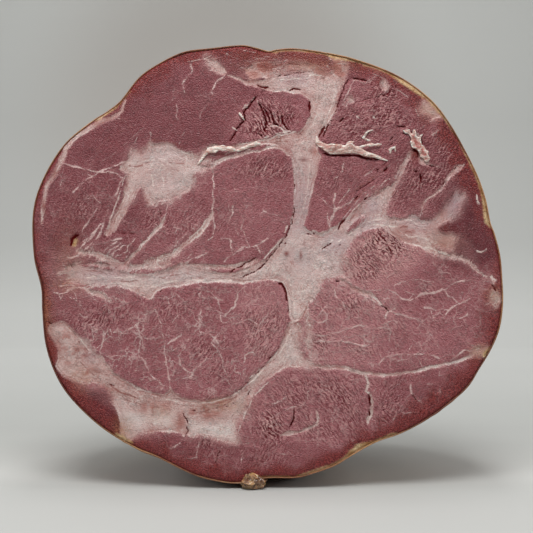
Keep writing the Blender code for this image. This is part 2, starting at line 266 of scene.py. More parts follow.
# Islands of lean in the fat
LEAN_IN_FAT = (
    ((-48.5, 98.6), (-44, 99.2), (-39, 101.2), (-36, 103.5), (-43, 101.8)),
    ((35.6, 115.2), (37.4, 118.2), (39.8, 121), (43, 122.8), (44.2, 122), (43, 120.4), (40, 117.8),
     (37.2, 115.6)),
    ((-81, 90.8), (-72, 91.2), (-64, 91), (-66, 89), (-72, 88.4), (-78, 89)),
    ((77, 117.8), (79, 119.8), (83, 121), (84.5, 117.5), (82, 115.2), (80, 114.6)),
    ((75, 109.5), (79, 107.5), (83, 108), (82, 105.5), (79, 105)),
    ((-25, 148.3), (-22.8, 149.6), (-20, 151.2), (-16.5, 151.7), (-16, 151), (-20.5, 149.8)),
)

# Bands of fat and tendon that change width: across, up, width
BANDS = (
    ((-86, 101.4, 1.2), (-75, 101, 2), (-60, 99.6, 2.2), (-45, 100.8, 2.2), (-30, 100.6, 1.8),
     (-15, 99.8, 2.2), (-5, 102.8, 2.2)),
    ((17.6, 82, 1.2), (18.4, 74, 2.6), (18.2, 66, 2.8), (19.5, 60, 2)),
    ((35.4, 103, 1.4), (36.4, 99.5, 2.4), (37, 95.6, 1.2)),
    ((-24.5, 124.5, 1.2), (-26, 121.5, 2), (-30, 116, 2.5), (-36, 111, 2.2), (-41, 107, 3), (-45, 104, 4),
     (-53, 101, 5)),
    ((-31, 147.5, 1.5), (-28, 151.5, 3), (-24, 153.6, 2.5), (-17, 153.2, 2), (-10, 154.6, 2.6),
     (-5, 155.8, 2.5), (0, 156.6, 3), (5, 158, 3), (12, 158.8, 4)),
    ((-31, 145.3, 1), (-25, 145, 1.4), (-22.5, 147.2, 1.8), (-18, 149.3, 1.6), (-13, 150.6, 1.6),
     (-8, 151.4, 1.2), (-3, 151.9, 0.9), (1, 154, 1.4), (6, 154.2, 2.5), (9.5, 151.5, 3)),
    ((-30, 147.2, 3), (-26, 148, 2.5)),
    ((-101.7, 119, 0.8), (-101, 125, 1.6), (-100.5, 131, 1.5), (-98.8, 137, 1.6), (-96, 141.5, 1.8),
     (-93, 146.5, 2), (-91, 153, 2), (-85, 158.8, 2.2), (-80, 162.3, 2.4), (-75, 165, 2.2), (-70, 167, 1.6),
     (-66, 170, 1.2), (-64, 175, 1)),
    ((22, 55, 1.4), (28, 54.6, 1.6), (36, 54.2, 2), (41, 52.6, 1.8), (47, 52, 1.6), (55, 51.3, 1.2),
     (60, 52, 1.2), (66, 53, 1.4), (73, 54.8, 1.6), (81, 56, 1.2), (87, 58, 1.2), (91, 60, 1.8),
     (94, 62, 3)),
    ((33, 94, 1.2), (36, 92.2, 1.4), (39, 90, 1.4), (42.5, 88.5, 2), (46, 87.8, 1.8), (49, 85.5, 1.2),
     (51, 83, 0.8)),
    ((55, 133, 2), (58, 137.5, 1.8), (59.8, 141, 1.5), (61.7, 146, 1.5), (63.5, 149.5, 1.3),
     (65, 152.5, 1.2)),
    ((57.5, 140.5, 0.8), (60, 144.5, 1), (62.3, 148.5, 1), (64, 152, 1)),
    ((68.3, 121, 1), (69.2, 125, 1), (70, 128, 0.8), (72, 130.8, 1), (74, 131.8, 0.9), (75.5, 133, 0.9),
     (78, 135, 1), (79.8, 137.3, 0.9), (82, 140.5, 1.3), (84, 142.6, 2.2)),
    ((44.6, 50.5, 1), (45.3, 47, 1.6), (44.3, 44, 1.3), (46.6, 42, 0.9), (47.3, 38, 1.1), (46.9, 34, 1.5),
     (45.3, 31.5, 1.8), (45.5, 29.5, 1.1)),
    ((22, 35.2, 0.7), (22.4, 32, 0.9), (22, 29, 1), (19, 27.6, 1.1), (16, 26.1, 1.2), (13, 25.2, 1.2),
     (9.5, 25.2, 2.2), (6, 24.2, 1)),
    ((83, 105, 3), (88, 103.5, 2), (92, 101, 1.2), (93.5, 99, 0.9), (95, 97.5, 0.8), (98.5, 95.5, 0.8)),
    ((-84.5, 107, 1.5), (-80, 106.2, 2.6), (-76, 105.2, 3), (-70.7, 103.2, 3.4), (-66, 100.4, 3)),
    ((-69, 97.8, 2.5), (-66, 99.8, 2), (-62.8, 102.6, 1.5), (-57.3, 108.6, 1.1), (-53.6, 112.8, 1.1),
     (-50.8, 116, 1.6), (-47.9, 118.2, 1.6), (-46.5, 121, 1)),
    ((66.5, 158.5, 3), (66, 156, 3.4), (67.5, 152.8, 3.6), (69.5, 150, 3.4), (70, 147.5, 3),
     (72, 146, 1.6)),
)

# Thin pale lines of connective tissue
VEINS = (
    ((-92, 146.5), (-85, 144.8), (-78, 142.8), (-72, 142.3), (-67, 141.3), (-65, 140), (-68, 132)),
    ((-87.5, 133), (-85, 136), (-82, 138.7), (-79.5, 140.3), (-76, 142.8), (-72, 144), (-68, 145.5),
     (-64, 146.8)),
    ((-44.8, 128.5), (-46.5, 121), (-48, 118), (-52, 113.5), (-55, 110.5)),
    ((-25, 124), (-23.5, 118), (-24.5, 114.5)), ((-25, 145), (-24, 136), (-24.2, 130), (-25, 124)),
    ((-20, 102.5), (-16, 105), (-11, 109), (-5, 109.8), (-3.5, 106)),
    ((-11, 123), (-12, 116.5), (-10.5, 115), (-8, 110)), ((-21, 112.3), (-16.5, 112), (-15.5, 106)),
    ((-15, 127), (-18, 119.5)), ((0, 113), (-3, 110.5)),
    ((-34.5, 191), (-34.3, 188), (-37.5, 183.5), (-37.3, 178)),
    ((-19, 186), (-23.5, 182.5), (-25.2, 178.5), (-24.8, 177)), ((-63, 102), (-56, 110)),
    ((-77, 126.5), (-83.5, 115)), ((-71, 128), (-74, 117), (-82, 107)),
    ((-43.7, 42.6), (-44.2, 49.4), (-45.5, 56.7), (-46.3, 63.9), (-47.4, 72.2), (-48.4, 76.4), (-50.5, 81)),
    ((-46.3, 65), (-42.7, 67.1), (-39.6, 69.1)),
    ((-35.9, 68.1), (-37.5, 62.9), (-40.1, 59.8), (-39.6, 56.1), (-35.9, 53.5), (-33.3, 52.5),
     (-34.9, 50.4), (-38.5, 49.6)),
    ((-33.3, 53.5), (-29.7, 56.1)),
    ((-33.9, 69.6), (-30.7, 73.3), (-29.7, 74.8), (-30.7, 77.4), (-29.7, 80.5)),
    ((-25.5, 66), (-22.4, 62.9), (-20.4, 58.7), (-19.8, 54.6), (-17.2, 49.4)),
    ((-25.5, 66), (-23.5, 68.1), (-20.6, 70.2)), ((-26.2, 69.1), (-23.5, 68.1), (-22.2, 65.6)),
    ((-16.2, 74.3), (-11, 75.9), (-8.9, 76.4), (-3.7, 73.8), (-1.1, 76.4), (0.4, 79.5)),
    ((-11, 56.7), (-10, 60.3), (-6.9, 61.3), (-5.3, 59.8)),
    ((-69.2, 70.7), (-65, 70.2), (-60.9, 72.8), (-57.7, 75.4), (-57.2, 79.5)),
    ((-76.4, 74.3), (-73.8, 70.2), (-74.4, 65), (-74.9, 60.8)),
    ((-57.7, 60.8), (-54.6, 56.7), (-53.6, 52.5), (-51.5, 50.4), (-48.4, 47.3), (-45.8, 46.8)),
    ((-57.7, 60.8), (-56.7, 65), (-58.8, 74.3)), ((-26.5, 87), (-20, 85)),
    ((-13, 90), (-15, 82), (-19, 78)), ((-84.5, 79), (-83, 77.5), (-81, 78)), ((-30.5, 24), (-31.5, 14)),
    ((-40.5, 14), (-32, 13.8)), ((-20, 20.5), (-23.5, 11.5)), ((-18, 14), (-19.5, 5.5)),
    ((-11, 17), (-11.5, 10)), ((-49, 24), (-48, 18)), ((-35, 24), (-39, 21), (-43, 18.5), (-50, 15)),
    ((-12, 20), (-5, 21.8), (0, 23)),
    ((38.3, 184), (37, 180), (35, 176), (32.5, 172), (30, 168), (27.5, 164), (25.5, 160)),
    ((38.5, 183.9), (41, 183.4), (43, 182.7), (45, 183), (46.5, 184.5), (48, 185.8), (50, 186)),
    ((35, 171.5), (36.5, 174)), ((27, 124), (27.5, 120), (28, 116.5)), ((30, 133), (30, 125), (28, 120)),
    ((28, 119), (31, 126), (35, 128), (39, 131)), ((50, 136), (55, 139.5)),
    ((36.5, 123), (40.5, 127.3), (46, 132.5)), ((0, 38.5), (6, 39.5), (8, 40.5)),
    ((8, 35.5), (12, 37), (16, 38.5), (18, 41), (18.5, 44)), ((22, 28), (22.5, 23)), ((0, 16), (9, 15.8)),
    ((38.5, 22), (38, 18.5), (37.2, 16.5)), ((36.5, 23.5), (38.5, 22), (40, 21)),
    ((33.9, 94.9), (38.7, 91.7), (43.6, 89), (48.4, 89.4), (53.9, 89.9), (57.4, 88.3), (60.8, 85.5),
     (64.3, 84.8), (69.1, 88.3), (74.6, 88.6), (80.1, 89.9), (85, 92.7), (89.8, 93.8), (93.9, 93.5)),
    ((42.2, 88.3), (47, 84.8), (51.2, 82.1), (54.6, 80), (58.1, 79.3), (62.2, 77.9), (66.3, 76.6),
     (71.2, 73.9), (75, 71.6)),
    ((56.7, 92.4), (63.6, 93.5), (69.1, 93.8), (74.6, 93.1)), ((54.6, 80), (57.4, 82.1)),
    ((54.6, 80), (53, 77)), ((16, 77.9), (19.4, 76.6), (23.6, 75.2), (28.4, 75.9)),
    ((18, 70.4), (22.2, 68.7), (26.3, 69), (30.5, 70.4), (35.3, 72.4), (40.1, 73.4), (44.3, 73.8),
     (48.4, 71.7), (51.2, 72.4), (53.9, 71.7)),
    ((18, 66.2), (24.9, 66.5), (30.5, 66.9), (36, 66.2), (41.5, 64.8), (45.6, 64.8), (47, 66.9)),
    ((53.2, 74.5), (55.3, 70.4), (54.6, 66.2)), ((70.5, 81.4), (76, 80.7), (81.5, 80.7), (80.1, 78.6)),
    ((81.5, 80.7), (87, 84.2), (91.2, 85.5)), ((71.9, 70.4), (74.6, 67.6), (77.4, 63.5)),
    ((49.8, 55.9), (52.5, 58.6), (56.7, 60), (60.8, 61.4), (66.3, 60.7), (71.9, 60.7), (77.4, 59.3)),
    ((87, 69), (89.8, 66.2), (93.9, 63.5)), ((84.3, 59.3), (88.4, 62.1), (93.9, 61.4)),
    ((80.1, 89.9), (82, 86.4), (86, 84)), ((30, 90.5), (31, 86.4), (34.6, 82.4)),
    ((5.6, 24.1), (9.8, 26.2), (15.3, 26.2), (20.8, 28.3), (22.9, 30.3), (22.2, 34.5)),
    ((98, 83), (99.5, 83), (100.5, 84)),
    ((64.5, 48), (64.3, 43), (65, 42), (67, 40), (69.5, 38), (69.8, 36)),
    ((60, 34.7), (64, 34.3), (68, 34.8)), ((72, 47.8), (74, 47.3)), ((77.5, 45), (77.5, 42), (77, 39)),
    ((81, 44), (82, 41), (82, 39.5)), ((63, 29), (62.5, 27)), ((57.5, 34.5), (57, 33), (56, 31)),
    ((70, 162.5), (74.8, 166)), ((74, 159), (79, 164)), ((73, 146), (77, 145.3)),
    ((1, 163.8), (3, 163), (5, 162.3), (7, 163), (9, 162)),
    ((-63.7, 103.1), (-62.4, 106.8), (-63.3, 108.6), (-61, 111.4), (-60, 112.8)),
    ((-77.1, 110), (-72, 111), (-68.4, 112.8), (-65.6, 113)),
    ((-70.2, 104.5), (-67.9, 107.3), (-64.7, 109.6)), ((-68.4, 103.6), (-65.6, 105.6), (-63.4, 107.4)),
    ((-71.4, 106.3), (-68.2, 109.3), (-65.4, 111.1)), ((-74, 106.8), (-70, 109.8), (-67.6, 112.2)),
    ((-82.7, 111), (-79.4, 114.2), (-75.7, 117.9)),
    ((-84, 108), (-80.6, 111.6), (-77.4, 116), (-74.6, 119.6)), ((-79.6, 108), (-76, 113), (-74, 117.4)),
    ((-88.7, 97.1), (-84, 98.5), (-79.4, 100.3), (-73.9, 103.1)), ((-95.1, 96.2), (-89.6, 97.1), (-86, 99)),
    ((-86.4, 101.4), (-84, 99), (-82, 97)),
    ((-93.3, 91.6), (-87.3, 91.8), (-82.2, 89.6), (-75.7, 87.4), (-70.7, 86.5), (-69.8, 83.7)),
    ((-92, 100.6), (-88.6, 98), (-86, 95.6)), ((-96, 88), (-91, 88.6), (-87, 90.6)),
    ((-90, 104), (-86.4, 104.6), (-83, 106)), ((-36, 103.6), (-33.6, 106.6), (-34.6, 108.6)),
    ((-37, 101.6), (-32, 104.4), (-27, 106)), ((-42, 109), (-39.4, 112.8), (-36, 115.4)),
)

# Fine lines in and beside the fat, and a few painted highlights (glints): strength, above 0 for white and
# below 0 for dark, then line
FAT_LINES_AND_GLINTS = (
    (0.55, ((-18.5, 196), (-15.2, 194), (-10.6, 193), (-6.6, 192.4))),
    (0.5, ((-10.6, 197.3), (-6.6, 196.6), (-2, 195.3), (2.6, 193.7))),
    (-0.6, ((-8.6, 191), (-4, 190.5), (0.6, 190.2), (5.2, 190.7))),
    (-0.5, ((-4.7, 188.7), (-0.7, 189.3), (3.9, 189.7))),
    (-0.7, ((-0.7, 193.4), (3.9, 194), (9.2, 194.3), (14.5, 193.4), (19.8, 193))),
    (0.5, ((6.6, 191.4), (9.2, 193.7), (12.5, 195.3), (17.1, 195), (22.4, 193.7))),
    (-0.7, ((21.1, 192.4), (24.4, 191), (27, 189))),
    (0.45, ((27.7, 194), (31, 191.4), (34.9, 191.4), (38.2, 192.4))),
    (-0.8, ((35.6, 190.7), (40.9, 190), (46.2, 189), (52.1, 186.8), (56, 183.5))),
    (0.4, ((38, 188.8), (42, 188.2), (47, 187.2), (52, 184.8))),
    (0.4, ((39.6, 183.5), (43.5, 182.1), (47.5, 183.8))),
    (-0.55, ((-69.3, 93.9), (-63.7, 93.4), (-58.2, 93.9), (-51.8, 95.3), (-47.1, 94.8), (-42.5, 96.2),
      (-38.4, 96.8), (-34, 96.6))),
    (0.7, ((-75, 93), (-70, 92.6), (-63.7, 92), (-58.6, 91.2), (-54, 91.4))),
    (0.7, ((-84, 95), (-76, 95.6), (-68, 95.2), (-60, 95.4))),
    (-0.5, ((-84, 97.8), (-78, 98.4), (-73, 97))), (-0.5, ((-77, 99.6), (-73.5, 101.6), (-71, 101))),
    (-0.45, ((-34.9, 95.3), (-25.7, 94.8), (-16.4, 94.8), (-9, 93.8), (3.9, 94.8))),
    (0.8, ((-52, 91), (-44, 93.4), (-36, 94.2), (-25, 94), (-16, 93.8))),
    (0.8, ((-14, 96.6), (-9, 98.8), (-3.6, 101.6), (0, 105.4), (4, 109.6), (7.2, 113.8), (9, 118.4))),
    (0.7, ((-12, 98.6), (-7, 101.4), (-3, 103.6))), (-0.5, ((-9.8, 98.9), (-5, 101.6), (-2, 104))),
    (0.9, ((29.7, 110.1), (34.8, 112.9), (38.9, 116.1), (43.1, 118.5), (49.1, 118.9), (57.4, 118),
      (58.8, 116.6))),
    (0.7, ((43.6, 119.8), (48.6, 121.2), (55.6, 121.2))),
    (0.6, ((48.6, 123.1), (52.3, 124), (54.2, 128.6), (55.6, 131.4))),
    (-0.5, ((46, 120.2), (51, 120.2), (56, 119.8))),
    (-0.5, ((51.2, 122.8), (53.6, 126), (54.8, 130.2), (56.8, 134.6))),
    (0.8, ((61.6, 111), (67.1, 109.7), (73.6, 108.3), (79.1, 105.8), (83.3, 104.4))),
    (0.6, ((60, 115.6), (64, 113.4), (68, 113.8), (72, 112))), (-0.6, ((59, 117), (61, 118.4), (63, 118))),
    (-0.6, ((60.4, 114.8), (62.6, 115.8), (65, 115.2))), (-0.4, ((64, 119.6), (66, 120.6), (69, 119.6))),
    (0.7, ((60, 121), (64, 121.2), (67, 119.6), (70.4, 119.8))),
    (0.7, ((20, 116.4), (23.3, 114.9), (27.4, 116.6), (28.4, 119))),
    (0.6, ((35.8, 121.6), (38.6, 125.4), (41, 128))),
    (-0.5, ((37, 120.6), (39.6, 124), (42.6, 127.6), (46, 131))),
    (0.8, ((21, 107), (24.4, 108.4), (27.6, 110.4), (29.4, 112.4))),
    (-0.5, ((29.4, 108.4), (32.4, 110.6), (35, 113.4))), (-0.4, ((22, 94.2), (26.4, 94.1))),
    (0.7, ((9.6, 94.8), (11, 90), (11.8, 84), (12, 79), (11, 73), (9.5, 69), (8, 65), (6, 62), (3, 58.4),
      (-2, 53.4), (-7, 48.4))),
    (-0.45, ((10.8, 91), (11.2, 85), (11, 79))),
    (-0.6, ((12, 74.5), (14.5, 75.5), (16.5, 79), (18, 83), (19.5, 86))),
    (-0.55, ((-85, 66.4), (-80, 61.4), (-74, 55.8), (-66, 48.8), (-58, 44.2), (-51, 41.6))),
    (0.7, ((-90, 72.4), (-84, 67.2), (-79, 60.6), (-72, 54), (-64, 47.6), (-55, 42.8), (-46, 40.4),
      (-36, 38.6))),
    (-0.5, ((-46, 38.6), (-38, 37.6), (-30, 37.2), (-22, 38.6), (-15, 41), (-9, 44.6))),
    (0.6, ((-34, 38.6), (-25, 38.8), (-16, 41.8), (-9, 46.8), (-3, 52.6))),
    (-0.4, ((-72, 48), (-66, 43.6), (-60, 41.4))),
    (0.6, ((-13, 26), (-10, 34), (-6, 42), (0, 47.8), (6, 51.6))),
    (-0.4, ((0, 185.8), (6, 187.6), (12, 188.4), (18, 188.6))),
    (0.8, ((2, 184.6), (8, 184.2), (15, 184.8), (20, 186.4), (24, 186))),
    (0.7, ((27, 190), (30.4, 186), (30.6, 180), (28.8, 172), (25, 164))),
    (0.6, ((21.5, 176), (22.6, 170), (20.6, 164), (17.4, 160))),
    (-0.35, ((14, 146), (15, 138), (14.6, 130), (13.6, 122))),
    (0.5, ((19, 146), (18.4, 138), (17, 130), (15.6, 122))), (0.7, ((-6.1, 176.1), (-7.5, 175.1))),
    (0.7, ((-6.8, 174.7), (-8.6, 173.8))), (0.7, ((-7.9, 173.3), (-9.7, 172.5))),
    (0.7, ((-9, 171.8), (-11.1, 171.1))), (0.9, ((-15.4, 162.5), (-13.6, 161.4))),
    (0.45, ((-4.6, 174.6), (-2.8, 171.6), (-1.6, 169.6))), (0.4, ((-3.2, 170.6), (-2, 168), (-1.7, 164.4))),
    (0.4, ((2.2, 170), (3.6, 167.2), (4, 165))), (0.4, ((5.6, 168), (6, 164.6), (7.2, 162.6))),
    (0.8, ((0.4, 164.3), (4, 163.5), (6.2, 162.1), (9, 159.6))),
    (0.5, ((-66, 146), (-62.6, 147), (-58.6, 146.2), (-55, 147.6), (-50.4, 147.8), (-46, 148.6))),
    (-0.8, ((-61.8, 145.4), (-59, 144.9), (-56.4, 145.4))),
    (-0.5, ((-58.6, 147), (-54, 146.8), (-51, 147.4))),
    (-0.45, ((-55.5, 141.6), (-51.2, 144.1), (-44.6, 144.5), (-40, 143.2))),
    (0.4, ((-54, 143.4), (-50.6, 145.4), (-44, 146), (-36, 145), (-28, 145))),
    (-0.5, ((-44, 146.8), (-38, 146.4), (-33, 145.8))), (0.9, ((-52.2, 140.8), (-51.6, 138), (-50.9, 135))),
    (0.9, ((-50.6, 141.4), (-48, 141.6), (-47, 139.6), (-46.6, 135))),
    (-0.5, ((-51.6, 157.2), (-47, 156.6), (-42, 155.8), (-38, 153.6))),
    (-0.45, ((-33, 142), (-33.4, 138), (-35, 133.6), (-38, 131.8))),
    (-0.45, ((-57, 135), (-55.4, 131.6), (-53.6, 128.4))), (0.4, ((-60, 155), (-58.8, 157.8))),
    (0.5, ((-52.8, 157), (-52.2, 160.4))), (0.5, ((-39.6, 155), (-38.8, 158.6), (-37.4, 160.4))),
    (-0.4, ((-81.4, 148.8), (-76, 153), (-71, 158.6), (-62, 162.6), (-51.4, 167.5))),
    (0.3, ((-75, 146.8), (-68, 151.6), (-62, 157), (-56, 162.6))),
    (0.5, ((30.3, 125.8), (34.6, 132), (40.1, 138.4), (48.8, 144.8))),
    (-0.55, ((32.6, 128.2), (37, 132.6), (41.8, 136.3), (52.2, 143.6))),
    (0.45, ((33.8, 121.3), (38.4, 127.4), (44, 133.4), (51, 138.6))),
    (-0.5, ((34.4, 124), (40, 130.6), (46, 136.4))), (0.35, ((44, 137), (50, 141), (55, 146))),
    (-0.4, ((40, 140), (45.6, 143.4), (50, 147))),
    (-0.8, ((0, 193), (5, 194.6), (11, 193.4), (17, 195), (23, 194))),
    (-0.7, ((4, 190.6), (9, 191.8), (14, 190.8))), (-0.7, ((-13, 193.4), (-8, 193), (-4, 194.6))),
    (0.6, ((-64, 141), (-66, 134), (-69, 126), (-72, 117))), (-0.5, ((-62.6, 138), (-65, 130), (-69, 120))),
    (0.6, ((-28, 150.6), (-22, 149.4), (-15, 152.4), (-8, 152.6))),
    (0.7, ((-3, 157.4), (4, 160), (10, 161))), (-0.5, ((-8, 153.4), (-2, 154.2), (4, 156.2), (9, 156.4))),
    (-0.5, ((-84, 57), (-79, 52), (-73, 47.5), (-66, 43.6), (-58, 40.5))),
    (-0.45, ((-70, 44.5), (-62, 39.5), (-52, 36.8), (-44, 36))),
    (-0.5, ((-36, 33.5), (-28, 35.2), (-20, 37.5), (-14, 41))),
    (0.5, ((-8, 193), (-2.5, 193.6), (3.8, 193.2), (10, 193.8))),
    (0.45, ((-36, 192.4), (-30, 193.2), (-24, 195.2))),
    (-0.7, ((-14, 196), (-7.9, 195.2), (1.1, 195.6), (10.1, 194.4), (21.8, 194.8))),
    (-0.6, ((-18, 191), (-10, 191.4), (-3, 190.4), (2, 191.6))),
    (0.4, ((-14, 189.4), (-7, 189.6), (0, 188.6))), (0.4, ((42, 190), (47, 187.6), (53, 186.4), (58, 183))),
    (-0.6, ((40, 189), (45, 187.6), (51, 187.4), (56, 184.6))),
    (0.4, ((58, 180), (63, 176.6), (66, 172), (68, 168))), (1, ((47.4, 170.8), (48, 170.2))),
    (1, ((47.2, 167.8), (47.9, 167.2))), (1, ((40.2, 167.6), (40.9, 167))),
    # Painted highlights: glints on the wet surface.
    (1, ((94.2, 131.8), (94.3, 130.2), (95, 128.8))),
    (1, ((94.4, 107.2), (96, 106.5), (97.6, 107.3), (98.4, 107.9))),
)

# Cracks and slits, sunk into the cut and painted dark as shade: width, then the line
CRACKS = (
    (1.7, ((-88.4, 110), (-87.8, 112.6), (-85.4, 114.2))), (0.9, ((-88.2, 100.5), (-87.6, 100.1))),
    (0.5, ((-70, 115), (-60, 115))), (0.6, ((-71.5, 47.3), (-68.5, 46.3))),
    (0.6, ((-98.7, 75), (-97, 74.2))), (0.6, ((-19.5, 41.3), (-17, 42.2))),
    (0.45, ((-13, 44.3), (-6, 51), (0, 57), (2, 59.8), (4, 62), (5.5, 64), (6.5, 66.5), (7.5, 69),
      (8.5, 72), (9.6, 75), (9.8, 77), (9.4, 81), (9, 85), (8.6, 87))),
    (1, ((8.5, 85), (8.3, 88.3), (7.3, 90.7), (6.2, 92.2))), (1.6, ((7, 91.2), (6.2, 92.3), (5, 92.6))),
    (0.7, ((-37.8, 33.5), (-35.7, 29.8))), (0.6, ((-36.8, 28.8), (-35.8, 26.5), (-37, 23))),
    (0.6, ((-9, 42.5), (-7.5, 44.5))), (0.6, ((-21.3, 18), (-23.3, 12))),
    (0.7, ((-11.8, 95), (-8.6, 96.6), (-5, 98.4))), (0.9, ((-5, 98.4), (-2.6, 99.9), (-0.7, 102.4))),
    (0.7, ((-17.1, 97.1), (-15.5, 98.5), (-11.8, 100.3), (-5.4, 104))), (0.7, ((-48.5, 89), (-47.5, 89.2))),
    (0.9, ((-5, 176.5), (-6.8, 174.2), (-8.2, 172.2), (-10.8, 169.7), (-10, 166.4), (-12.6, 163.5),
      (-14, 161.4), (-15.4, 158.5), (-16.9, 156.7))),
    (0.9, ((-3.9, 173.6), (-2.5, 170.7), (-1.4, 168.6), (-0.7, 165.7), (-0.7, 162.8), (-1.4, 161.4))),
    (0.8, ((0, 171.5), (1.5, 169.3), (2.2, 167.1), (2.9, 164.3), (4.7, 163.5))),
    (0.7, ((-2.1, 172.2), (-0.3, 169.3), (1.1, 166.4), (1.5, 164.3))),
    (0.8, ((6.2, 168.6), (6.9, 165), (8.3, 162.5), (9.4, 161.7))),
    (0.6, ((4.7, 169.3), (5.1, 166.4), (5.4, 164.3))), (0.5, ((7.6, 167.8), (8.3, 165.3))),
    (0.5, ((8.8, 168.3), (9.5, 165.3))), (0.5, ((10, 168.6), (10.6, 166.1))),
    (0.5, ((11.2, 168.6), (11.6, 166.8))), (0.9, ((-4, 159.8), (-3.2, 159.3))),
    (0.7, ((1.5, 159.8), (3, 158.8))), (0.7, ((4.4, 157.7), (5.4, 157.7))),
    (1.1, ((18.8, 174.5), (18.8, 170))), (0.6, ((19, 169), (19.2, 167.5))),
    (1.1, ((26, 163.5), (24.5, 161), (23, 158.2))), (0.8, ((27.5, 164.5), (26.5, 162), (25.2, 159))),
    (0.6, ((37, 185), (35, 182), (33.5, 178), (31, 171), (28.5, 165.5))),
    (0.8, ((37, 185), (39, 184.8), (41, 184.5), (43.5, 184), (45, 183.6))),
    (1.2, ((-4.3, 181.6), (-2.5, 180.8), (0, 180.7))), (0.6, ((-8.8, 181.8), (-8, 181.7))),
    (1.1, ((10, 179.3), (12, 180.2), (14.5, 179.8))), (0.8, ((7.8, 186.2), (9, 186.2))),
    (0.4, ((4, 185.8), (8, 186.2), (13, 187), (17, 187.8), (20, 187.6))),
    (0.8, ((14.8, 159.8), (15.8, 159.4))), (1, ((32.8, 165.5), (34, 166.8))),
    (0.5, ((43, 174.8), (45, 175.8), (48, 176), (51, 177.3), (53, 177.3), (55, 178.5))),
    (0.9, ((25.5, 150.9), (28, 150.3), (35, 150), (40, 150.1), (43, 149.2), (46, 148.5), (50, 148.4))),
    (0.7, ((10.6, 118.5), (11.3, 122), (12, 126.5))), (0.5, ((12.1, 134), (12, 139))),
    (0.6, ((-0.7, 102.4), (1.6, 105), (4.3, 108.2), (8, 113.3), (9.4, 116.5), (10.3, 118.8))),
    (0.9, ((8.3, 113.8), (8.7, 114.2))), (0.8, ((8, 110.4), (8.6, 111))),
    (0.9, ((18, 114.8), (19.2, 114.7))), (0.8, ((20.8, 115), (21.3, 114.7))),
    (0.8, ((22.6, 114.3), (23.6, 113.8))), (0.7, ((24.5, 108), (26.5, 109.5), (29, 111))),
    (0.8, ((32.4, 109.8), (33.4, 110.2))), (0.9, ((31.2, 93.5), (31.7, 93.5))),
    (1.1, ((32, 117.5), (33, 119.5), (34.8, 121.2))), (0.7, ((43.5, 130), (44.5, 131))),
    (1.2, ((52.6, 143.2), (53.8, 144.6))), (0.6, ((49.8, 143.8), (51.2, 144.8))),
    (0.6, ((52.6, 146), (53.4, 146.8))), (0.5, ((40, 134), (44, 136.5), (48, 139))),
    (0.7, ((39, 130), (41, 132.5))), (0.7, ((51, 82.5), (53, 81.5), (54.5, 80.2))),
    (0.8, ((12, 35), (11.8, 33), (11.2, 30), (10, 28))), (1, ((45.5, 42.5), (45.9, 40), (46.2, 37.8))),
    (0.8, ((45.5, 35.5), (46, 33))), (0.8, ((45.1, 47.2), (45.4, 46.6))), (0.6, ((65.2, 42.5), (67, 40))),
    (0.6, ((69, 35), (68.5, 33.5))), (0.9, ((68.8, 141.5), (68.8, 139))), (1, ((66.4, 143), (67, 142.8))),
    (0.6, ((78.5, 136.2), (79.5, 138), (81, 139.2))), (0.9, ((84.2, 144), (84.6, 144.6))),
    (1, ((101.2, 91.5), (102.5, 89.5))), (0.7, ((59, 163.2), (62, 163))), (0.8, ((56.6, 159), (56, 158))),
    (0.8, ((56.6, 155.8), (55.8, 155.2))), (0.9, ((61.6, 160.2), (63, 160.4))),
    (0.8, ((64.9, 160.6), (65.6, 160))), (0.8, ((69.2, 157.4), (69.4, 155))),
    (1.2, ((65.4, 152.6), (66.6, 152.6), (67.6, 151.2), (67.6, 149.6))),
    (0.6, ((71.6, 146), (74, 145.4), (76, 145.3))), (0.7, ((-48.4, 125.5), (-48, 123.6))),
    (0.9, ((-31.3, 38.7), (-30.6, 38.7))), (0.8, ((-33.8, 35.4), (-33.2, 35.4))),
    (0.8, ((-18.8, 37), (-18.2, 37))), (0.7, ((-15.2, 38.5), (-14.8, 38.4))),
    (0.8, ((-73.4, 113.8), (-73, 113.7))),
)

# Each muscle: middle across and up, reach across and up, tone, coarseness, grain direction, marbling
MUSCLES = (
    (-66, 165, 40, 24, -0.58, 0.2, 40, 0.05), (-40, 178, 30, 16, -0.48, 0.02, 25, 0.08),
    (-80, 125, 24, 22, -0.5, 0.35, 60, 0.25), (-92, 88, 12, 22, -0.3, 0.3, 10, 0.25),
    (-35, 118, 22, 16, -0.22, 0.38, 45, 0.3), (-2, 166, 12, 9, 0.06, 0.9, -50, 0),
    (11, 170, 7, 8, -0.12, 0.3, 90, 0.1), (-8, 128, 20, 26, -0.16, 0.25, 70, 0.25),
    (45, 168, 24, 14, -0.18, 0.72, 12, 0.1), (68, 172, 14, 10, -0.34, 0.35, 15, 0.1),
    (34, 132, 16, 18, -0.2, 0.5, 52, 0.15), (72, 146, 14, 18, -0.48, 0.58, 35, 0.1),
    (90, 122, 12, 26, -0.92, 0.15, 65, 0.05), (52, 104, 16, 13, 0.6, 1.1, -55, 0.05),
    (80, 88, 26, 14, -0.17, 0.35, -45, 0.5), (40, 76, 26, 18, 0.33, 0.6, -50, 0.65),
    (70, 64, 24, 9, 0.02, 0.5, -45, 0.4), (24, 38, 34, 16, 0.04, 0.65, -60, 0.3),
    (-2, 12, 26, 9, -0.25, 0.42, 80, 0.3), (70, 42, 22, 12, -0.22, 0.45, 75, 0.3),
    (-45, 68, 50, 22, -0.12, 0.45, 60, 0.75), (-5, 72, 14, 18, 0.36, 0.62, 65, 0.5),
    (-38, 16, 22, 8, -0.38, 0.36, 80, 0.3), (-30, 55, 16, 9, 0.08, 0.45, 60, 0.6),
    (-80, 36, 12, 12, -0.92, 0.05, 30, 0), (-80, 47, 9, 4, 0.25, 0.2, 60, 0.2),
)

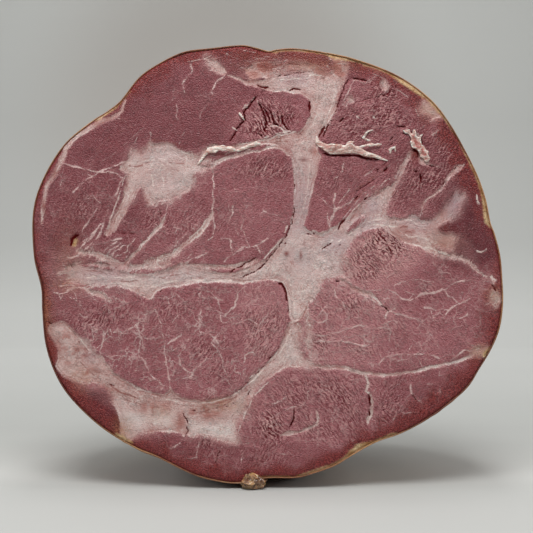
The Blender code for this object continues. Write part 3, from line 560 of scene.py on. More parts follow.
# Where short twigs of marbling grow: middle, reach, how many
TWIG_PLACES = (
    (-45, 68, 34, 20, 20), (-8, 72, 12, 14, 3), (52, 80, 30, 14, 10), (80, 86, 18, 12, 5),
    (-10, 120, 16, 20, 8), (-40, 115, 18, 10, 5), (-80, 128, 16, 16, 5), (-55, 170, 30, 14, 5),
    (20, 36, 26, 14, 5), (72, 44, 18, 9, 3), (-10, 14, 30, 7, 5), (34, 132, 12, 14, 2), (-92, 92, 6, 14, 3),
    (60, 62, 26, 5, 2),
)

# Where the edge of the fat frays into the muscle: middle, reach, by how many mm
FRAYS = (
    (-30, 143, 7, 10, 2.4), (-50, 130, 12, 4, 2.4), (-60, 151, 6, 6, 1.6), (-90, 97, 16, 12, 4.5),
    (-70, 94, 12, 8, 1.8), (-88, 60, 8, 8, 1), (-10, 38, 9, 16, 2.2), (-32, 23, 12, 5, 1.2),
    (85, 128, 7, 9, 2.2), (90, 108, 8, 7, 3), (78, 106, 8, 5, 2), (66, 124, 10, 5, 1.8),
    (28, 92, 12, 6, 2.4), (40, 108, 8, 8, 1.6), (20, 60, 9, 7, 2.4), (31, 187, 6, 7, 2),
    (74, 171, 7, 6, 2.2), (96, 62, 6, 4, 1.4), (102, 86, 4, 6, 1.2), (5, 190, 9, 6, 2.4),
    (-45, 104, 12, 6, 1.6), (-34, 112, 8, 6, 1.2), (48, 130, 9, 7, 2.6), (58, 118, 8, 6, 1.6),
    (20, 84, 5, 8, 1.8), (-26, 192, 6, 6, 1.8), (-56, 24, 8, 4, 1.2), (36, 98, 5, 8, 1.8),
    (-4, 98, 8, 4, 1.4), (26, 165, 4, 10, 0.9), (60, 140, 6, 8, 1), (-45, 98, 10, 3, 1.2),
    (-76, 42, 12, 7, 2.2), (-2, 189, 10, 6, 2),
)

# How deep and how dark the browned rim is, deepened in places with painted shade where the face rounds off,
# by degrees round the face
RIM_AND_SHADE_BANDS = (
    (0, 4, 0.85), (6, 2.4, 0.5), (20, 6, 0.85), (28, 6.5, 0.95), (35, 6, 0.95), (50, 6, 0.95), (60, 5, 0.9),
    (66, 5.5, 1), (76, 5, 0.9), (84, 6, 0.9), (92, 6, 0.9), (105, 5, 0.9), (117, 4.4, 1), (127, 4, 1),
    (136, 3, 0.7), (150, 2.2, 0.6), (170, 2.6, 0.7), (180, 3.6, 0.85), (190, 3.2, 0.85), (199, 7, 1),
    (206, 7, 1), (213, 6.5, 0.9), (220, 6.5, 0.9), (230, 4.5, 0.8), (245, 6.5, 0.9), (262, 5.5, 1),
    (275, 4.5, 1), (290, 5.5, 1), (300, 6, 1), (315, 6.5, 1), (330, 7, 0.95), (345, 6, 0.9), (355, 5, 0.95),
    (360, 4, 0.85),
)

# Golden casing and jelly that show inside the rim: across, up, width
GOLD = (
    ((2, 197.2, 0.8), (8, 197.8, 1.4), (15, 197.7, 1.2), (25, 196.4, 0.9), (29, 195.2, 2.4),
     (33, 194.4, 2.2), (40, 193, 1.2), (50, 189.8, 0.8), (56, 186.8, 1.8), (60, 184.2, 2.6),
     (64, 181.8, 2.8), (67, 179.3, 2.4), (70, 177.2, 1.3), (73, 174.9, 1), (76, 172, 1.8), (79, 168.4, 1.6),
     (82, 164.4, 0.9), (86, 158.4, 0.7), (90, 150.2, 1.2), (92.5, 144.8, 1.6), (95, 139.2, 1.5),
     (97, 133.2, 1.9), (98.2, 128, 2.6), (98.8, 123, 3.2), (99.1, 120.4, 2.6), (100.6, 118.4, 1)),
    ((13, 5.4, 0.8), (20, 7.5, 1.3), (25, 9.2, 1.5), (30, 10.8, 1.1), (35, 13.8, 1.3), (38, 16.6, 2.2),
     (42, 19, 3), (46, 20.4, 1.8), (50, 21.8, 0.9), (55.5, 24, 1.8), (58, 24.8, 0.9)),
    ((-78, 166.4, 1), (-73, 169.2, 1.8), (-69.5, 171.6, 2), (-66.4, 174.8, 1.5), (-62.5, 179.2, 0.8)),
    ((-68, 24.4, 1.3), (-64, 22.2, 1.7), (-61, 20.8, 1)), ((98, 60.4, 2.4), (100.4, 63, 2)),
    ((-86.9, 110.2, 1.8), (-86.2, 112.2, 1.4)), ((-3, 5, 0.9), (3, 5.2, 1), (10, 5.2, 1)),
)

# How golden, from 0 for dark red to 1, the casing's edge is, by degrees round the face
GOLDEN_EDGE = (
    (0, 0.9), (18, 1), (26, 0.6), (38, 0.3), (42, 0.9), (58, 1), (70, 0.6), (84, 0.7), (95, 0.4),
    (110, 0.5), (122, 0.4), (132, 1), (140, 1), (146, 0.4), (165, 0.3), (185, 0.05), (215, 0.05),
    (226, 0.3), (238, 0.9), (250, 0.6), (268, 0.9), (290, 0.8), (300, 1), (307, 0.7), (314, 0.1),
    (340, 0.1), (348, 0.6), (354, 0.9), (360, 0.9),
)

# Where the cut is pitted between the meat's bundles: middle, reach, strength
PITTED = (
    (53, 110, 8, 6, 1), (46, 102, 7, 8, 0.7), (41.5, 96, 5, 3, 0.5), (23.6, 65, 9, 5, 0.6),
    (38, 81.5, 5, 5, 0.65), (41.5, 62, 8, 3, 0.45), (26, 84, 4, 5, 0.4), (27, 38, 24, 13, 0.5),
    (53, 38, 6, 8, 0.6), (72, 88, 4, 6, 0.4), (-75, 75, 14, 7, 0.45), (-2, 71, 9, 13, 0.6),
    (-4, 143, 12, 4, 0.6), (62, 146, 5, 6, 0.5), (-28, 64, 8, 6, 0.55), (-21, 53, 5, 5, 0.4),
    (1, 29, 6, 10, 0.9), (-27, 21, 3, 3, 0.5), (-2, 166, 10, 8, 1), (9, 168, 5, 6, 0.5),
    (-30, 118, 10, 6, 0.4), (-3, 143.5, 9, 6, 0.65), (-84, 125, 6, 6, 0.4), (54, 178, 10, 5, 0.5),
    (45, 167, 17, 9, 0.7), (31, 140, 8, 5, 0.4), (54, 133, 5, 6, 0.5), (72, 139, 9, 6, 0.65),
    (79, 152, 8, 8, 0.4), (5, 142, 5, 3, 0.6), (-45, 82, 14, 5, 0.35), (-6, 14, 20, 6, 0.25),
    (-50, 120, 8, 5, 0.3), (60, 76, 12, 6, 0.25),
)

# Where fat melts softly into the lean: middle, reach, over how many mm
SOFT_PLACES = (
    (-45, 130, 14, 5, 1.8), (-61, 140, 5, 8, 1.5), (-30, 143, 5, 8, 2), (-57, 152, 7, 5, 1.5),
    (-44, 156, 10, 3, 1.3), (-87, 50, 7, 6, 1.5), (-93, 70, 5, 6, 1.3), (-60, 25, 10, 4, 1.6),
    (-22, 21, 11, 4, 2), (-12, 30, 5, 10, 2.4), (-72, 42, 6, 5, 1.4), (-80, 66, 8, 6, 1.3),
    (18, 60, 8, 8, 1.6), (-90, 98, 9, 11, 1.5), (86, 122, 10, 13, 1.8), (20, 191, 16, 6, 1.4),
    (33, 98, 6, 8, 1.3), (-26, 192, 5, 6, 1.5), (74, 171, 7, 6, 1.8), (80, 108, 7, 7, 1.6),
    (-79, 43.5, 7, 3, 1.5), (1, 45, 8, 4, 2), (36, 99, 4, 6, 1.6), (19, 70, 5, 9, 1.8),
    (102, 86, 4, 5, 1.4), (96, 62, 5, 4, 1.4), (-70, 120, 4, 9, 0.9), (37, 176, 3, 3, 0.9),
    (52, 181, 3, 4, 1), (-48, 102, 8, 4, 0.8), (12, 192, 12, 4, 1.5), (46, 128, 8, 6, 1.3),
    (-94, 140, 6, 24, 0.8), (69, 152, 5, 7, 1),
)

# Milky white places in the fat: middle, reach, strength
MILKY = (
    (-89, 55.5, 5, 4, 0.9), (-92, 68, 5, 6, 0.7), (-61, 31, 7, 6, 1), (-47, 31, 5, 4, 0.7),
    (-22, 26, 9, 4, 1), (-40, 137, 9, 7, 0.6), (-42, 151, 9, 3, 0.4), (12, 184, 7, 4, 0.1),
    (26, 182, 4, 10, 0.2), (16, 104, 6, 8, 0.3), (16, 72, 8, 26, 0.2), (27, 96, 10, 8, 0.2),
    (-62, 94, 18, 4, 0.35), (72, 119, 6, 3, 0.15), (-28, 95, 14, 3, 0.35), (52, 108, 9, 3, 0.3),
)

# Red or brown spots: middle, reach, strength
RED_SPOTS = (
    (0, 194, 6, 2.6, 0.6), (13, 195, 9, 2, 0.6), (23, 193, 5, 2.4, 0.45), (-9, 195, 9, 2.2, 0.5),
    (13, 191.6, 6, 1.2, 0.3), (44, 189.6, 9, 1.6, 0.35), (-1, 190.5, 9, 2.6, 0.45),
    (22, 194.5, 7, 1.8, 0.5), (29, 190.5, 3, 2.4, 0.4), (36, 190.5, 4, 2, 0.35), (66.2, 150.6, 1.9, 3, 1),
    (16.3, 148.2, 1.6, 0.9, 0.7), (-97.4, 62, 2.2, 5.4, 1.2), (8.5, 105.9, 1.2, 1.2, 1),
    (66.5, 156.2, 1.2, 1.8, 0.6), (15, 105.2, 0.7, 2.4, 0.8), (16.6, 109.8, 0.5, 2, 0.35),
    (-100.6, 126.5, 0.9, 3.6, 0.7), (-20.5, 150.4, 3.2, 0.6, 0.7), (-22, 37.5, 6, 2, 0.25),
    (79.5, 117.5, 3, 2.2, 0.35), (30.5, 152.6, 4, 1, 0.3),
)

# Places tinted amber by the cooking jelly: middle, reach, strength
AMBER_SPOTS = (
    (-6, 190, 14, 5, 0.12), (36, 192, 6, 3, 0.2), (-90, 104, 7, 14, 0.2), (79, 111, 8, 5, 0.15),
    (96, 62, 5, 3, 0.4), (-20, 38, 10, 3, 0.4), (-65, 27, 4, 6, 0.5), (-101, 78, 4, 12, 0.4),
    (22, 191, 14, 3, 0.3), (-84, 50, 5, 6, 0.25), (-48, 34, 5, 4, 0.25), (102, 87, 4, 4, 0.4),
    (74, 171, 5, 4, 0.3), (-90, 92, 8, 4, 0.3),
)

# Places where fat is flushed with pink: middle, reach, strength
BLUSHES = (
    (-3, 189, 9, 5, 1), (8, 188, 12, 7, 0.65), (24, 189, 8, 6, 0.7), (33, 190, 5, 6, 1),
    (21, 151, 3, 4, 0.6), (51, 133, 4, 4, 0.6), (39, 124, 4, 4, 0.5), (60, 142, 4, 9, 0.5),
    (85, 129, 5, 7, 0.8), (-39, 30, 4, 7, 0.65), (-74, 46, 9, 5, 0.85), (-91, 66, 6, 7, 0.7),
    (-89, 57, 7, 4, 0.55), (-80, 52, 7, 4, 0.7), (-73, 48, 5, 4, 0.8), (-56, 142, 7, 8, 0.2),
    (17, 140, 5, 22, 0.2), (-28, 35, 9, 4, 0.85), (-84, 61, 5, 4, 0.95), (68, 116, 8, 5, 0.75),
    (-52, 37, 10, 4, 0.65), (12, 100, 6, 10, 0.18), (80, 110, 6, 5, 0.5), (62, 116, 9, 5, 0.5),
    (80, 126, 6, 6, 0.5), (96, 114, 3, 4, 0.5), (-90, 62, 6, 3, 0.35), (-82, 55, 3, 5, 0.3),
    (-64, 27, 4, 5, 0.45), (-22, 37, 8, 4, 0.35), (-80, 96, 14, 6, 0.45), (-60, 94, 8, 5, 0.25),
    (-40, 137, 9, 6, 0.3), (-30, 96, 14, 4, 0.15), (96, 62, 4, 3, 0.35), (74, 171, 5, 4, 0.45),
    (44, 126, 8, 5, 0.25), (-55, 150, 6, 4, 0.2),
)

# Places with a cool, bluish cast: middle, reach, strength
COOL_SPOTS = (
    (15, 130, 6, 16, 0.65), (14, 118, 6, 6, 0.5), (44, 120, 9, 6, 0.6), (60, 126, 8, 5, 0.45),
    (68, 120, 8, 6, 0.55), (84, 129, 5, 8, 1), (30, 100, 8, 8, 0.25), (15, 104, 8, 8, 0.4),
    (-75, 96, 16, 5, 0.6), (-40, 95, 16, 4, 0.4), (-46, 138, 12, 8, 0.3), (-48, 150, 12, 5, 0.3),
    (60, 142, 5, 9, 0.3), (30, 110, 8, 6, 0.7), (47, 127, 5, 5, 0.7), (-80, 60, 4, 4, 0.4),
    (-66, 31, 5, 5, 0.5), (12, 185, 8, 4, 0.7),
)

# Soft spots that the cut's material reads, by the name of their attribute
SPOTS = {
    "soft": SOFT_PLACES, "milky": MILKY, "red": RED_SPOTS, "amber": AMBER_SPOTS, "blush": BLUSHES,
    "cool": COOL_SPOTS,
}

# Torn sheets of tendon: name, outline, known heights, thickness, how pink they are inside
SHEETS = (
    ("tendon_flap_right",
     ((21.5, 155.4), (21.7, 158), (22.3, 159.3), (22.6, 157.4), (24.5, 155.9), (27, 154.9), (28.5, 155.2),
      (33, 154.9), (34, 154.4), (35, 154.5), (35.8, 155.9), (37.4, 156.4), (39, 156.1), (38, 155.2),
      (39.2, 154.2), (41, 153.9), (43, 154.7), (44, 154.8), (45.6, 155.2), (46.5, 155.7), (48, 155),
      (49.5, 155.4), (51.5, 155.1), (49.8, 153.9), (48, 154.3), (46.5, 153.9), (44, 154), (42, 153.2),
      (44, 151.9), (47, 150.9), (48.5, 150.5), (50, 149.8), (52, 148.8), (55, 147.5), (56.3, 147),
      (53, 147.7), (51, 148.1), (48, 148.9), (45, 149.3), (42.5, 149.8), (41, 150.5), (39, 151),
      (36, 150.9), (33, 150.6), (28, 150.6), (26.6, 151.5), (25, 152.6), (23, 154)),
     ((22, 156, 0.8), (25, 154, 1.8), (30, 154.6, 3), (34, 154, 2.8), (38, 155.6, 3.2), (45, 154.8, 2.6),
      (51, 155, 1.6), (30, 151, 1.5), (38, 151.3, 1.9), (46, 150, 2.2), (52, 148.6, 1), (56, 147.1, 0.3),
      (22, 159, 0.4)), 0.6, 0.55),
    ("tendon_flap_left",
     ((-31.8, 146), (-30.6, 148), (-29.5, 149.6), (-28.4, 151), (-27.4, 152.4), (-27, 153.5),
      (-25.5, 153.6), (-23.5, 154.3), (-21.5, 154.2), (-20, 154.6), (-18.5, 154), (-16.5, 154.2),
      (-15, 153.6), (-14.2, 152.6), (-14.6, 151.7), (-16, 151.5), (-17.5, 151.9), (-19, 152.1),
      (-20.3, 151.8), (-21.2, 152.5), (-22.3, 151.9), (-23.3, 151), (-25, 150.9), (-26.5, 151.1),
      (-28, 149.6), (-29.3, 147.8), (-31, 145.8)),
     ((-31, 146.5, 0.4), (-27, 153, 1.8), (-24, 152, 2.4), (-20, 154, 2.6), (-16, 152.6, 2),
      (-14.4, 152.4, 0.8), (-29, 149, 0.9)), 0.7, 0.3),
    ("tendon_shred_right",
     ((60.8, 161.2), (62, 161.6), (63.8, 161.6), (64.2, 160.2), (65, 159.8), (65.3, 161.4), (66.2, 161.7),
      (66.7, 160.4), (66.9, 158.6), (68, 158.2), (68.6, 159.2), (69.9, 159.5), (69, 158.2), (68.9, 157),
      (69.2, 155), (70.4, 154), (71.2, 152.6), (72.3, 152), (72.3, 150), (73.2, 148.8), (72.5, 147.4),
      (70.8, 147.2), (70, 148.8), (68.6, 149.4), (68.3, 151), (67.4, 152.4), (66, 153.2), (64.9, 153.4),
      (64.4, 154.8), (64, 156), (64.6, 157.2), (64, 158.6), (63.4, 159.6), (62, 159.9)),
     ((61, 161.3, 0.9), (64, 161, 1.8), (66.4, 161, 1.9), (64.4, 156.5, 1.7), (66.5, 156, 1),
      (69.6, 159.2, 1.4), (68, 154, 1.5), (71.5, 151, 1.2), (72.6, 148, 0.8)), 0.5, 1),
    ("tendon_curl",
     ((42.3, 158), (43, 158.6), (43.9, 160.2), (45.2, 161.3), (46.8, 161.7), (47.9, 161.5), (46.6, 161),
      (45.2, 160.4), (44.5, 159.4), (43.7, 157.9), (44.6, 157.7), (46.6, 156.9), (46, 156.5), (45.2, 156.2),
      (44.4, 156.8), (43.2, 157.3)),
     ((42.6, 158, 0.8), (44.6, 160.6, 1.7), (47.6, 161.5, 1.2), (46.2, 156.8, 0.8)), 0.5, 0.3),
    ("tendon_splinter",
     ((-12.9, 169.6), (-12.1, 169.2), (-11, 167.6), (-10.3, 166), (-10.1, 165.5), (-10.8, 166),
      (-12, 167.4), (-13, 168.7)),
     ((-12.6, 169, 1.3), (-11.4, 167.4, 1.6), (-10.2, 165.7, 0.6)), 0.6, 0.1),
    ("tendon_fringe",
     ((-14.3, 152.2), (-12.6, 153.3), (-10.6, 154.1), (-8.6, 155), (-6.6, 155.8), (-4.9, 156.6),
      (-4.4, 155.9), (-3, 155.6), (-3.6, 154.9), (-5.4, 154.1), (-8, 153.6), (-11, 152.4), (-13, 151.6)),
     ((-14, 152.2, 0.5), (-8, 154.6, 1.2), (-4.8, 156.4, 1.5), (-5, 154.2, 0.5)), 0.6, 0.3),
    ("tendon_tag",
     ((54.2, 152.8), (55.4, 153.6), (57.1, 154), (57.4, 154.6), (57.7, 153), (57.9, 151.6), (57.3, 151.8),
      (56.9, 153.1), (55.9, 152.6), (55.6, 151), (54.8, 150.8), (54.8, 152)),
     ((54.6, 152.6, 0.7), (57.2, 154, 1.2), (57.7, 152, 0.7)), 0.5, 0.7),
)


def srgb(red, green, blue):
    """A colour in 0 to 255 steps of the picture as linear light."""
    def line(step):
        share = step / 255.0
        return share / 12.92 if share <= 0.04045 else ((share + 0.055) / 1.055) ** 2.4
    return (line(red), line(green), line(blue), 1.0)


def smooth(low, high, value):
    """0 below low, 1 above high, and a smooth rise between."""
    share = np.clip((value - low) / (high - low), 0.0, 1.0)
    return share * share * (3.0 - 2.0 * share)


def corner_turn(column, row, seed):
    """A repeatable random angle at each corner of the noise lattice."""
    mixed = (column * 374761393 + row * 668265263 + seed * 974634777) & 0xFFFFFFFF
    mixed = ((mixed ^ (mixed >> 13)) * 1274126177) & 0xFFFFFFFF
    return ((mixed ^ (mixed >> 16)) & 0xFFFF) / 65536.0 * 2.0 * np.pi


def noise(x, y, seed):
    """Smooth gradient noise, about -1 to 1, one lump to a unit."""
    column = np.floor(x).astype(np.int64)
    row = np.floor(y).astype(np.int64)
    inner_x = x - column
    inner_y = y - row
    blend_x = inner_x ** 3 * (inner_x * (inner_x * 6.0 - 15.0) + 10.0)
    blend_y = inner_y ** 3 * (inner_y * (inner_y * 6.0 - 15.0) + 10.0)

    def pull(step_x, step_y):
        turn = corner_turn(column + step_x, row + step_y, seed)
        return np.cos(turn) * (inner_x - step_x) + np.sin(turn) * (inner_y - step_y)

    low = pull(0, 0) * (1.0 - blend_x) + pull(1, 0) * blend_x
    high = pull(0, 1) * (1.0 - blend_x) + pull(1, 1) * blend_x
    return 1.5 * (low * (1.0 - blend_y) + high * blend_y)


def layered_noise(x, y, seed, layers):
    """Noise with finer, weaker layers over it."""
    total = np.zeros_like(x)
    for layer in range(layers):
        total += noise(x * 2.0 ** layer, y * 2.0 ** layer, seed + layer) * 0.5 ** layer
    return total


def nearest_on_line(u, v, line):
    """For each spot, the distance to an open line, and the line's third value there if it has one."""
    points = np.array(line, float)
    best = np.full(u.shape, np.inf)
    value = np.zeros(u.shape)
    for start, end in zip(points, points[1:]):
        run = end[:2] - start[:2]
        share = ((u - start[0]) * run[0] + (v - start[1]) * run[1]) / max(run @ run, 1e-9)
        share = np.clip(share, 0.0, 1.0)
        gap = np.hypot(u - start[0] - share * run[0], v - start[1] - share * run[1])
        closer = gap < best
        best[closer] = gap[closer]
        if points.shape[1] > 2:
            value[closer] = (start[2] + share * (end[2] - start[2]))[closer]
    return best, value


def inside(u, v, ring):
    """True for the spots inside a closed ring."""
    odd = np.zeros(u.shape, bool)
    points = np.array(ring, float)[:, :2]
    for start, end in zip(points, np.roll(points, -1, axis=0)):
        if start[1] == end[1]:
            continue
        crosses = (start[1] > v) != (end[1] > v)
        odd ^= crosses & (u < start[0] + (v - start[1]) * (end[0] - start[0]) / (end[1] - start[1]))
    return odd


def closed(ring):
    """A ring's points, with the first one again at the end."""
    ring = np.array(ring, float)
    return np.vstack((ring, ring[:1]))


def depth_in(u, v, ring):
    """Distance to a closed ring's edge, positive inside it."""
    gap, _ = nearest_on_line(u, v, closed(ring))
    return np.where(inside(u, v, ring), gap, -gap)


def spot_weight(u, v, spot):
    """1 in the middle of an oval spot, fading to 0 past its reach."""
    return np.exp(-((u - spot[0]) / spot[2]) ** 2 - ((v - spot[1]) / spot[3]) ** 2)


def running_length(points):
    """How far along a line each of its points lies."""
    return np.concatenate(([0.0], np.cumsum(np.hypot(*np.diff(points, axis=0).T))))


def places_at(points, along, wanted):
    """The places on a line at the wanted lengths along it."""
    return np.column_stack([np.interp(wanted, along, points[:, axis]) for axis in (0, 1)])


def closed_curve(points, step_count):
    """Even steps along the smooth closed curve through the points."""
    points = np.array(points, float)
    share = np.linspace(0.0, 1.0, CURVE_STEPS, endpoint=False)[:, None]
    a, b, c, d = (np.roll(points, shift, axis=0)[:, None, :] for shift in (1, 0, -1, -2))
    fine = 0.5 * (2 * b + (c - a) * share + (2 * a - 5 * b + 4 * c - d) * share ** 2
                  + (3 * b - a - 3 * c + d) * share ** 3)
    fine = closed(fine.reshape(-1, 2))
    along = running_length(fine)
    return places_at(fine, along, np.linspace(0.0, along[-1], step_count, endpoint=False))


def outward(ring):
    """The outward direction at each point of a closed anticlockwise ring."""
    run = np.roll(ring, -1, axis=0) - np.roll(ring, 1, axis=0)
    side = np.column_stack((run[:, 1], -run[:, 0]))
    return side / np.hypot(side[:, 0], side[:, 1])[:, None]


def along_line(line, pitch):
    """Even steps along an open line, with the sideways direction at each."""
    points = np.array(line, float)[:, :2]
    along = running_length(points)
    step_count = max(2, int(along[-1] / pitch) + 1)
    spots = places_at(points, along, np.linspace(0.0, along[-1], step_count))
    run = np.gradient(spots, axis=0)
    run /= np.maximum(np.hypot(run[:, 0], run[:, 1]), 1e-9)[:, None]
    return spots, np.column_stack((-run[:, 1], run[:, 0]))


def line_spots():
    """Mesh points that follow the traced edges, veins and cracks."""
    edges = [(closed(ring), EDGE_RAILS) for ring in ALL_FAT + LEAN_IN_FAT]
    edges += [(band, BAND_RAILS) for band in BANDS]
    edges += [(vein, VEIN_RAILS) for vein in VEINS]
    edges += [(twig, TWIG_RAILS) for twig in twigs()]
    edges += [(line, FAT_LINE_RAILS) for _, line in FAT_LINES_AND_GLINTS]
    edges += [(crack, [width * rail for rail in CRACK_RAILS]) for width, crack in CRACKS]
    rails = []
    for line, offsets in edges:
        spots, side = along_line(line, RAIL_PITCH)
        rails += [spots + side * offset for offset in offsets]
    return np.vstack(rails)


def staggered(low, high, pitch):
    """Places in rows, every second row half a step along, from one corner to the other."""
    rows = np.arange(low[1], high[1], pitch * ROW_RISE)
    u, v = np.meshgrid(np.arange(low[0], high[0], pitch), rows)
    return u + (np.arange(len(rows)) % 2)[:, None] * pitch / 2, v


def face_spots(rim, pitch):
    """Points of the face's mesh: along the traced lines first, then an even field."""
    near = line_spots()
    _, first = np.unique(np.floor(near / CELL).astype(int), axis=0, return_index=True)
    near = near[np.sort(first)]
    u, v = staggered(FIELD_LOW, FIELD_HIGH, pitch)
    u = u + FIELD_JITTER * pitch * noise(u * 1.7, v * 1.7, 5)
    field = np.column_stack((u.ravel(), v.ravel()))
    taken = np.zeros(CELL_COUNTS, bool)
    places = np.floor((near + CELL_ORIGIN) / CELL).astype(int)
    for step_x in (-1, 0, 1):
        for step_y in (-1, 0, 1):
            taken[places[:, 0] + step_x, places[:, 1] + step_y] = True
    at = np.floor((field + CELL_ORIGIN) / CELL).astype(int)
    spots = np.vstack((near, field[~taken[at[:, 0], at[:, 1]]]))
    return spots[depth_in(spots[:, 0], spots[:, 1], rim[::4]) > RIM_CLEARANCE]


def rounded(ring):
    """A closed ring with its corners cut twice."""
    points = np.array(ring, float)
    for _ in range(2):
        after = np.roll(points, -1, axis=0)
        cut = np.stack((0.75 * points + 0.25 * after, 0.25 * points + 0.75 * after), axis=1)
        points = cut.reshape(-1, 2)
    return points


def drifted(u, v, *layers):
    """Places pushed about by noise: each layer's reach and lump size in mm, and two seeds."""
    new_u, new_v = u, v
    for reach, lump, seed_u, seed_v in layers:
        new_u = new_u + reach * noise(u / lump, v / lump, seed_u)
        new_v = new_v + reach * noise(u / lump, v / lump, seed_v)
    return new_u, new_v


def fat_depth(u, v):
    """Signed distance to the nearest edge of the fat in mm, positive inside it."""
    wobble_u, wobble_v = drifted(u, v, (0.3, 2.6, 11, 13), (0.5, 7.0, 12, 14))
    depth = np.full(u.shape, -FAT_REACH)
    for ring in ALL_FAT:
        depth = np.maximum(depth, depth_in(wobble_u, wobble_v, rounded(ring)))
    for band in BANDS:
        gap, width = nearest_on_line(wobble_u, wobble_v, band)
        depth = np.maximum(depth, width / 2.0 - gap)
    for ring in LEAN_IN_FAT:
        depth = np.minimum(depth, -depth_in(wobble_u, wobble_v, rounded(ring)))
    return np.clip(depth, -FAT_REACH, FAT_REACH)


def twigs():
    """Short wandering lines of marbling, some of them forked."""
    draw = random.Random(7)
    lines = []
    for middle_u, middle_v, reach_u, reach_v, how_many in TWIG_PLACES:
        for _ in range(how_many):
            start = (draw.gauss(middle_u, 0.55 * reach_u), draw.gauss(middle_v, 0.55 * reach_v))
            heading = draw.uniform(0.0, 2.0 * math.pi)
            stem = wander(draw, start, heading, draw.randint(3, 8))
            lines.append(stem)
            for _ in range(draw.randint(0, 2)):
                turn = draw.choice((-1.0, 1.0)) * draw.uniform(0.5, 1.2)
                lines.append(wander(draw, draw.choice(stem), heading + turn, draw.randint(2, 4)))
    return lines


def wander(draw, start, heading, steps):
    """A line that drifts as it goes, a step to every 0.9 mm."""
    line = [start]
    drift = draw.gauss(0.0, 0.14)
    for _ in range(steps):
        heading += drift + draw.gauss(0.0, 0.16)
        line.append((line[-1][0] + 0.9 * math.cos(heading), line[-1][1] + 0.9 * math.sin(heading)))
    return tuple(line)


def vein_gap(u, v):
    """Distance to the nearest thin vein in mm."""
    light_u, light_v = drifted(u, v, (0.4, 1.9, 21, 22), (0.8, 5.0, 24, 25))
    nearest = np.full(u.shape, VEIN_REACH)
    for line in VEINS:
        nearest = np.minimum(nearest, nearest_on_line(light_u, light_v, line)[0])
    for line in twigs():
        middle = line[len(line) // 2]
        close = np.hypot(u - middle[0], v - middle[1]) < TWIG_REACH
        gap = nearest_on_line(u[close], v[close], line)[0] + 0.24
        nearest[close] = np.minimum(nearest[close], gap)
    return nearest + 0.06 + 0.20 * noise(u / 5.0, v / 5.0, 33) + 0.2 * smooth(36.0, 24.0, v)


def line_and_glint_amount(u, v):
    """Fine white lines of the fat and painted highlights above 0, and dark lines below 0."""
    light_u, light_v = drifted(u, v, (0.3, 3.0, 28, 29))
    total = np.zeros(u.shape)
    for strength, line in FAT_LINES_AND_GLINTS:
        gap, _ = nearest_on_line(light_u, light_v, line)
        total += strength * np.exp(-(gap / 0.38) ** 2)
    return np.clip(total, -1.0, 1.0)


def crack_amount(u, v):
    """How far each spot lies into a crack, from 0 to 1."""
    light_u, light_v = drifted(u, v, (0.3, 1.8, 26, 27))
    crack = np.zeros(u.shape)
    for width, line in CRACKS:
        gap, _ = nearest_on_line(light_u, light_v, line)
        ends = np.minimum(np.hypot(u - line[0][0], v - line[0][1]),
                          np.hypot(u - line[-1][0], v - line[-1][1]))
        taper = np.clip(0.5 + ends / 2.5, 0.0, 1.0)
        amount_here = np.exp(-(gap / (0.42 * width * taper)) ** 2) * min(1.0, 0.15 + width)
        crack = np.maximum(crack, amount_here)
    return crack


def soft_ground(u, v):
    """Tone, coarseness, marbling and the share of each grain direction, blended between muscles."""
    total = np.full(u.shape, 1e-6)
    values = np.zeros((3 + len(GRAIN_TURNS),) + u.shape)
    for muscle in MUSCLES:
        reach = np.hypot((u - muscle[0]) / muscle[2], (v - muscle[1]) / muscle[3])
        weight = np.exp(-3.0 * reach ** 2)
        total += weight
        shares = [max(0.0, math.cos(2.0 * math.radians(muscle[6] - turn))) for turn in GRAIN_TURNS]
        for row, value in enumerate([muscle[4], muscle[5], muscle[7]] + shares):
            values[row] += weight * value
    return values / total


def rim_and_shade_amounts(u, v, depth):
    """Strength of the browned rim at each spot, with painted shade where the face rounds off."""
    angle = np.degrees(np.arctan2(v - FACE_CENTRE[1], u - FACE_CENTRE[0])) % 360.0
    stations = np.array(RIM_AND_SHADE_BANDS, float)
    width = np.interp(angle, stations[:, 0], stations[:, 1])
    strength = np.interp(angle, stations[:, 0], stations[:, 2])
    uneven = 1.0 + 0.45 * layered_noise(u / 9.0, v / 9.0, 31, 2)
    return strength * np.exp(-(depth / (1.35 * width * uneven)) ** 1.6)


def gold_amounts(u, v):
    """Where golden casing or jelly shows inside the rim."""
    gold = np.zeros(u.shape)
    for strip in GOLD:
        gap, width = nearest_on_line(u, v, strip)
        gold = np.maximum(gold, smooth(0.45, -0.35, gap - width / 2.0))
    return gold


def spots_amount(u, v, spots):
    """The strongest of a list of soft oval spots."""
    amount = np.zeros(u.shape)
    for spot in spots:
        amount = np.maximum(amount, spot[4] * spot_weight(u, v, spot))
    return amount


def face_relief(u, v, depth, fat, vein, crack, coarse):
    """How far the cut stands out of its plane, in mm."""
    swell = 0.45 * (1.0 - fat) * (1.0 - np.exp(-depth / 8.0))
    waves = 0.45 * noise(u / 26.0, v / 26.0, 41) + 0.22 * noise(u / 9.0, v / 9.0, 42)
    grain = 0.18 * coarse * layered_noise(u / 2.4, v / 2.4, 43, 2) * (1.0 - fat)
    fat_lumps = 0.14 * fat * layered_noise(u / 4.0, v / 4.0, 44, 2)
    rolled_rim = -0.8 * np.exp(-(depth / 1.1) ** 2)
    sunken = -1.0 * crack * (1.0 - 0.65 * fat)
    seam_edge = 0.8 * fat * (1.0 - fat)
    raised = 0.14 * np.exp(-(vein / 0.5) ** 2)
    return swell + waves + grain + fat_lumps + rolled_rim + sunken + raised + seam_edge


def to_frame(u, v, out):
    """Points of the shared frame, in metres, from places on the face and heights above it."""
    return np.column_stack((u + FACE_X, FACE_Y - out, v)) * MM


def write_attribute(mesh, name, values):
    """Store one number for each vertex."""
    layer = mesh.attributes.new(name, "FLOAT", "POINT")
    layer.data.foreach_set("value", np.ascontiguousarray(values, np.float32))


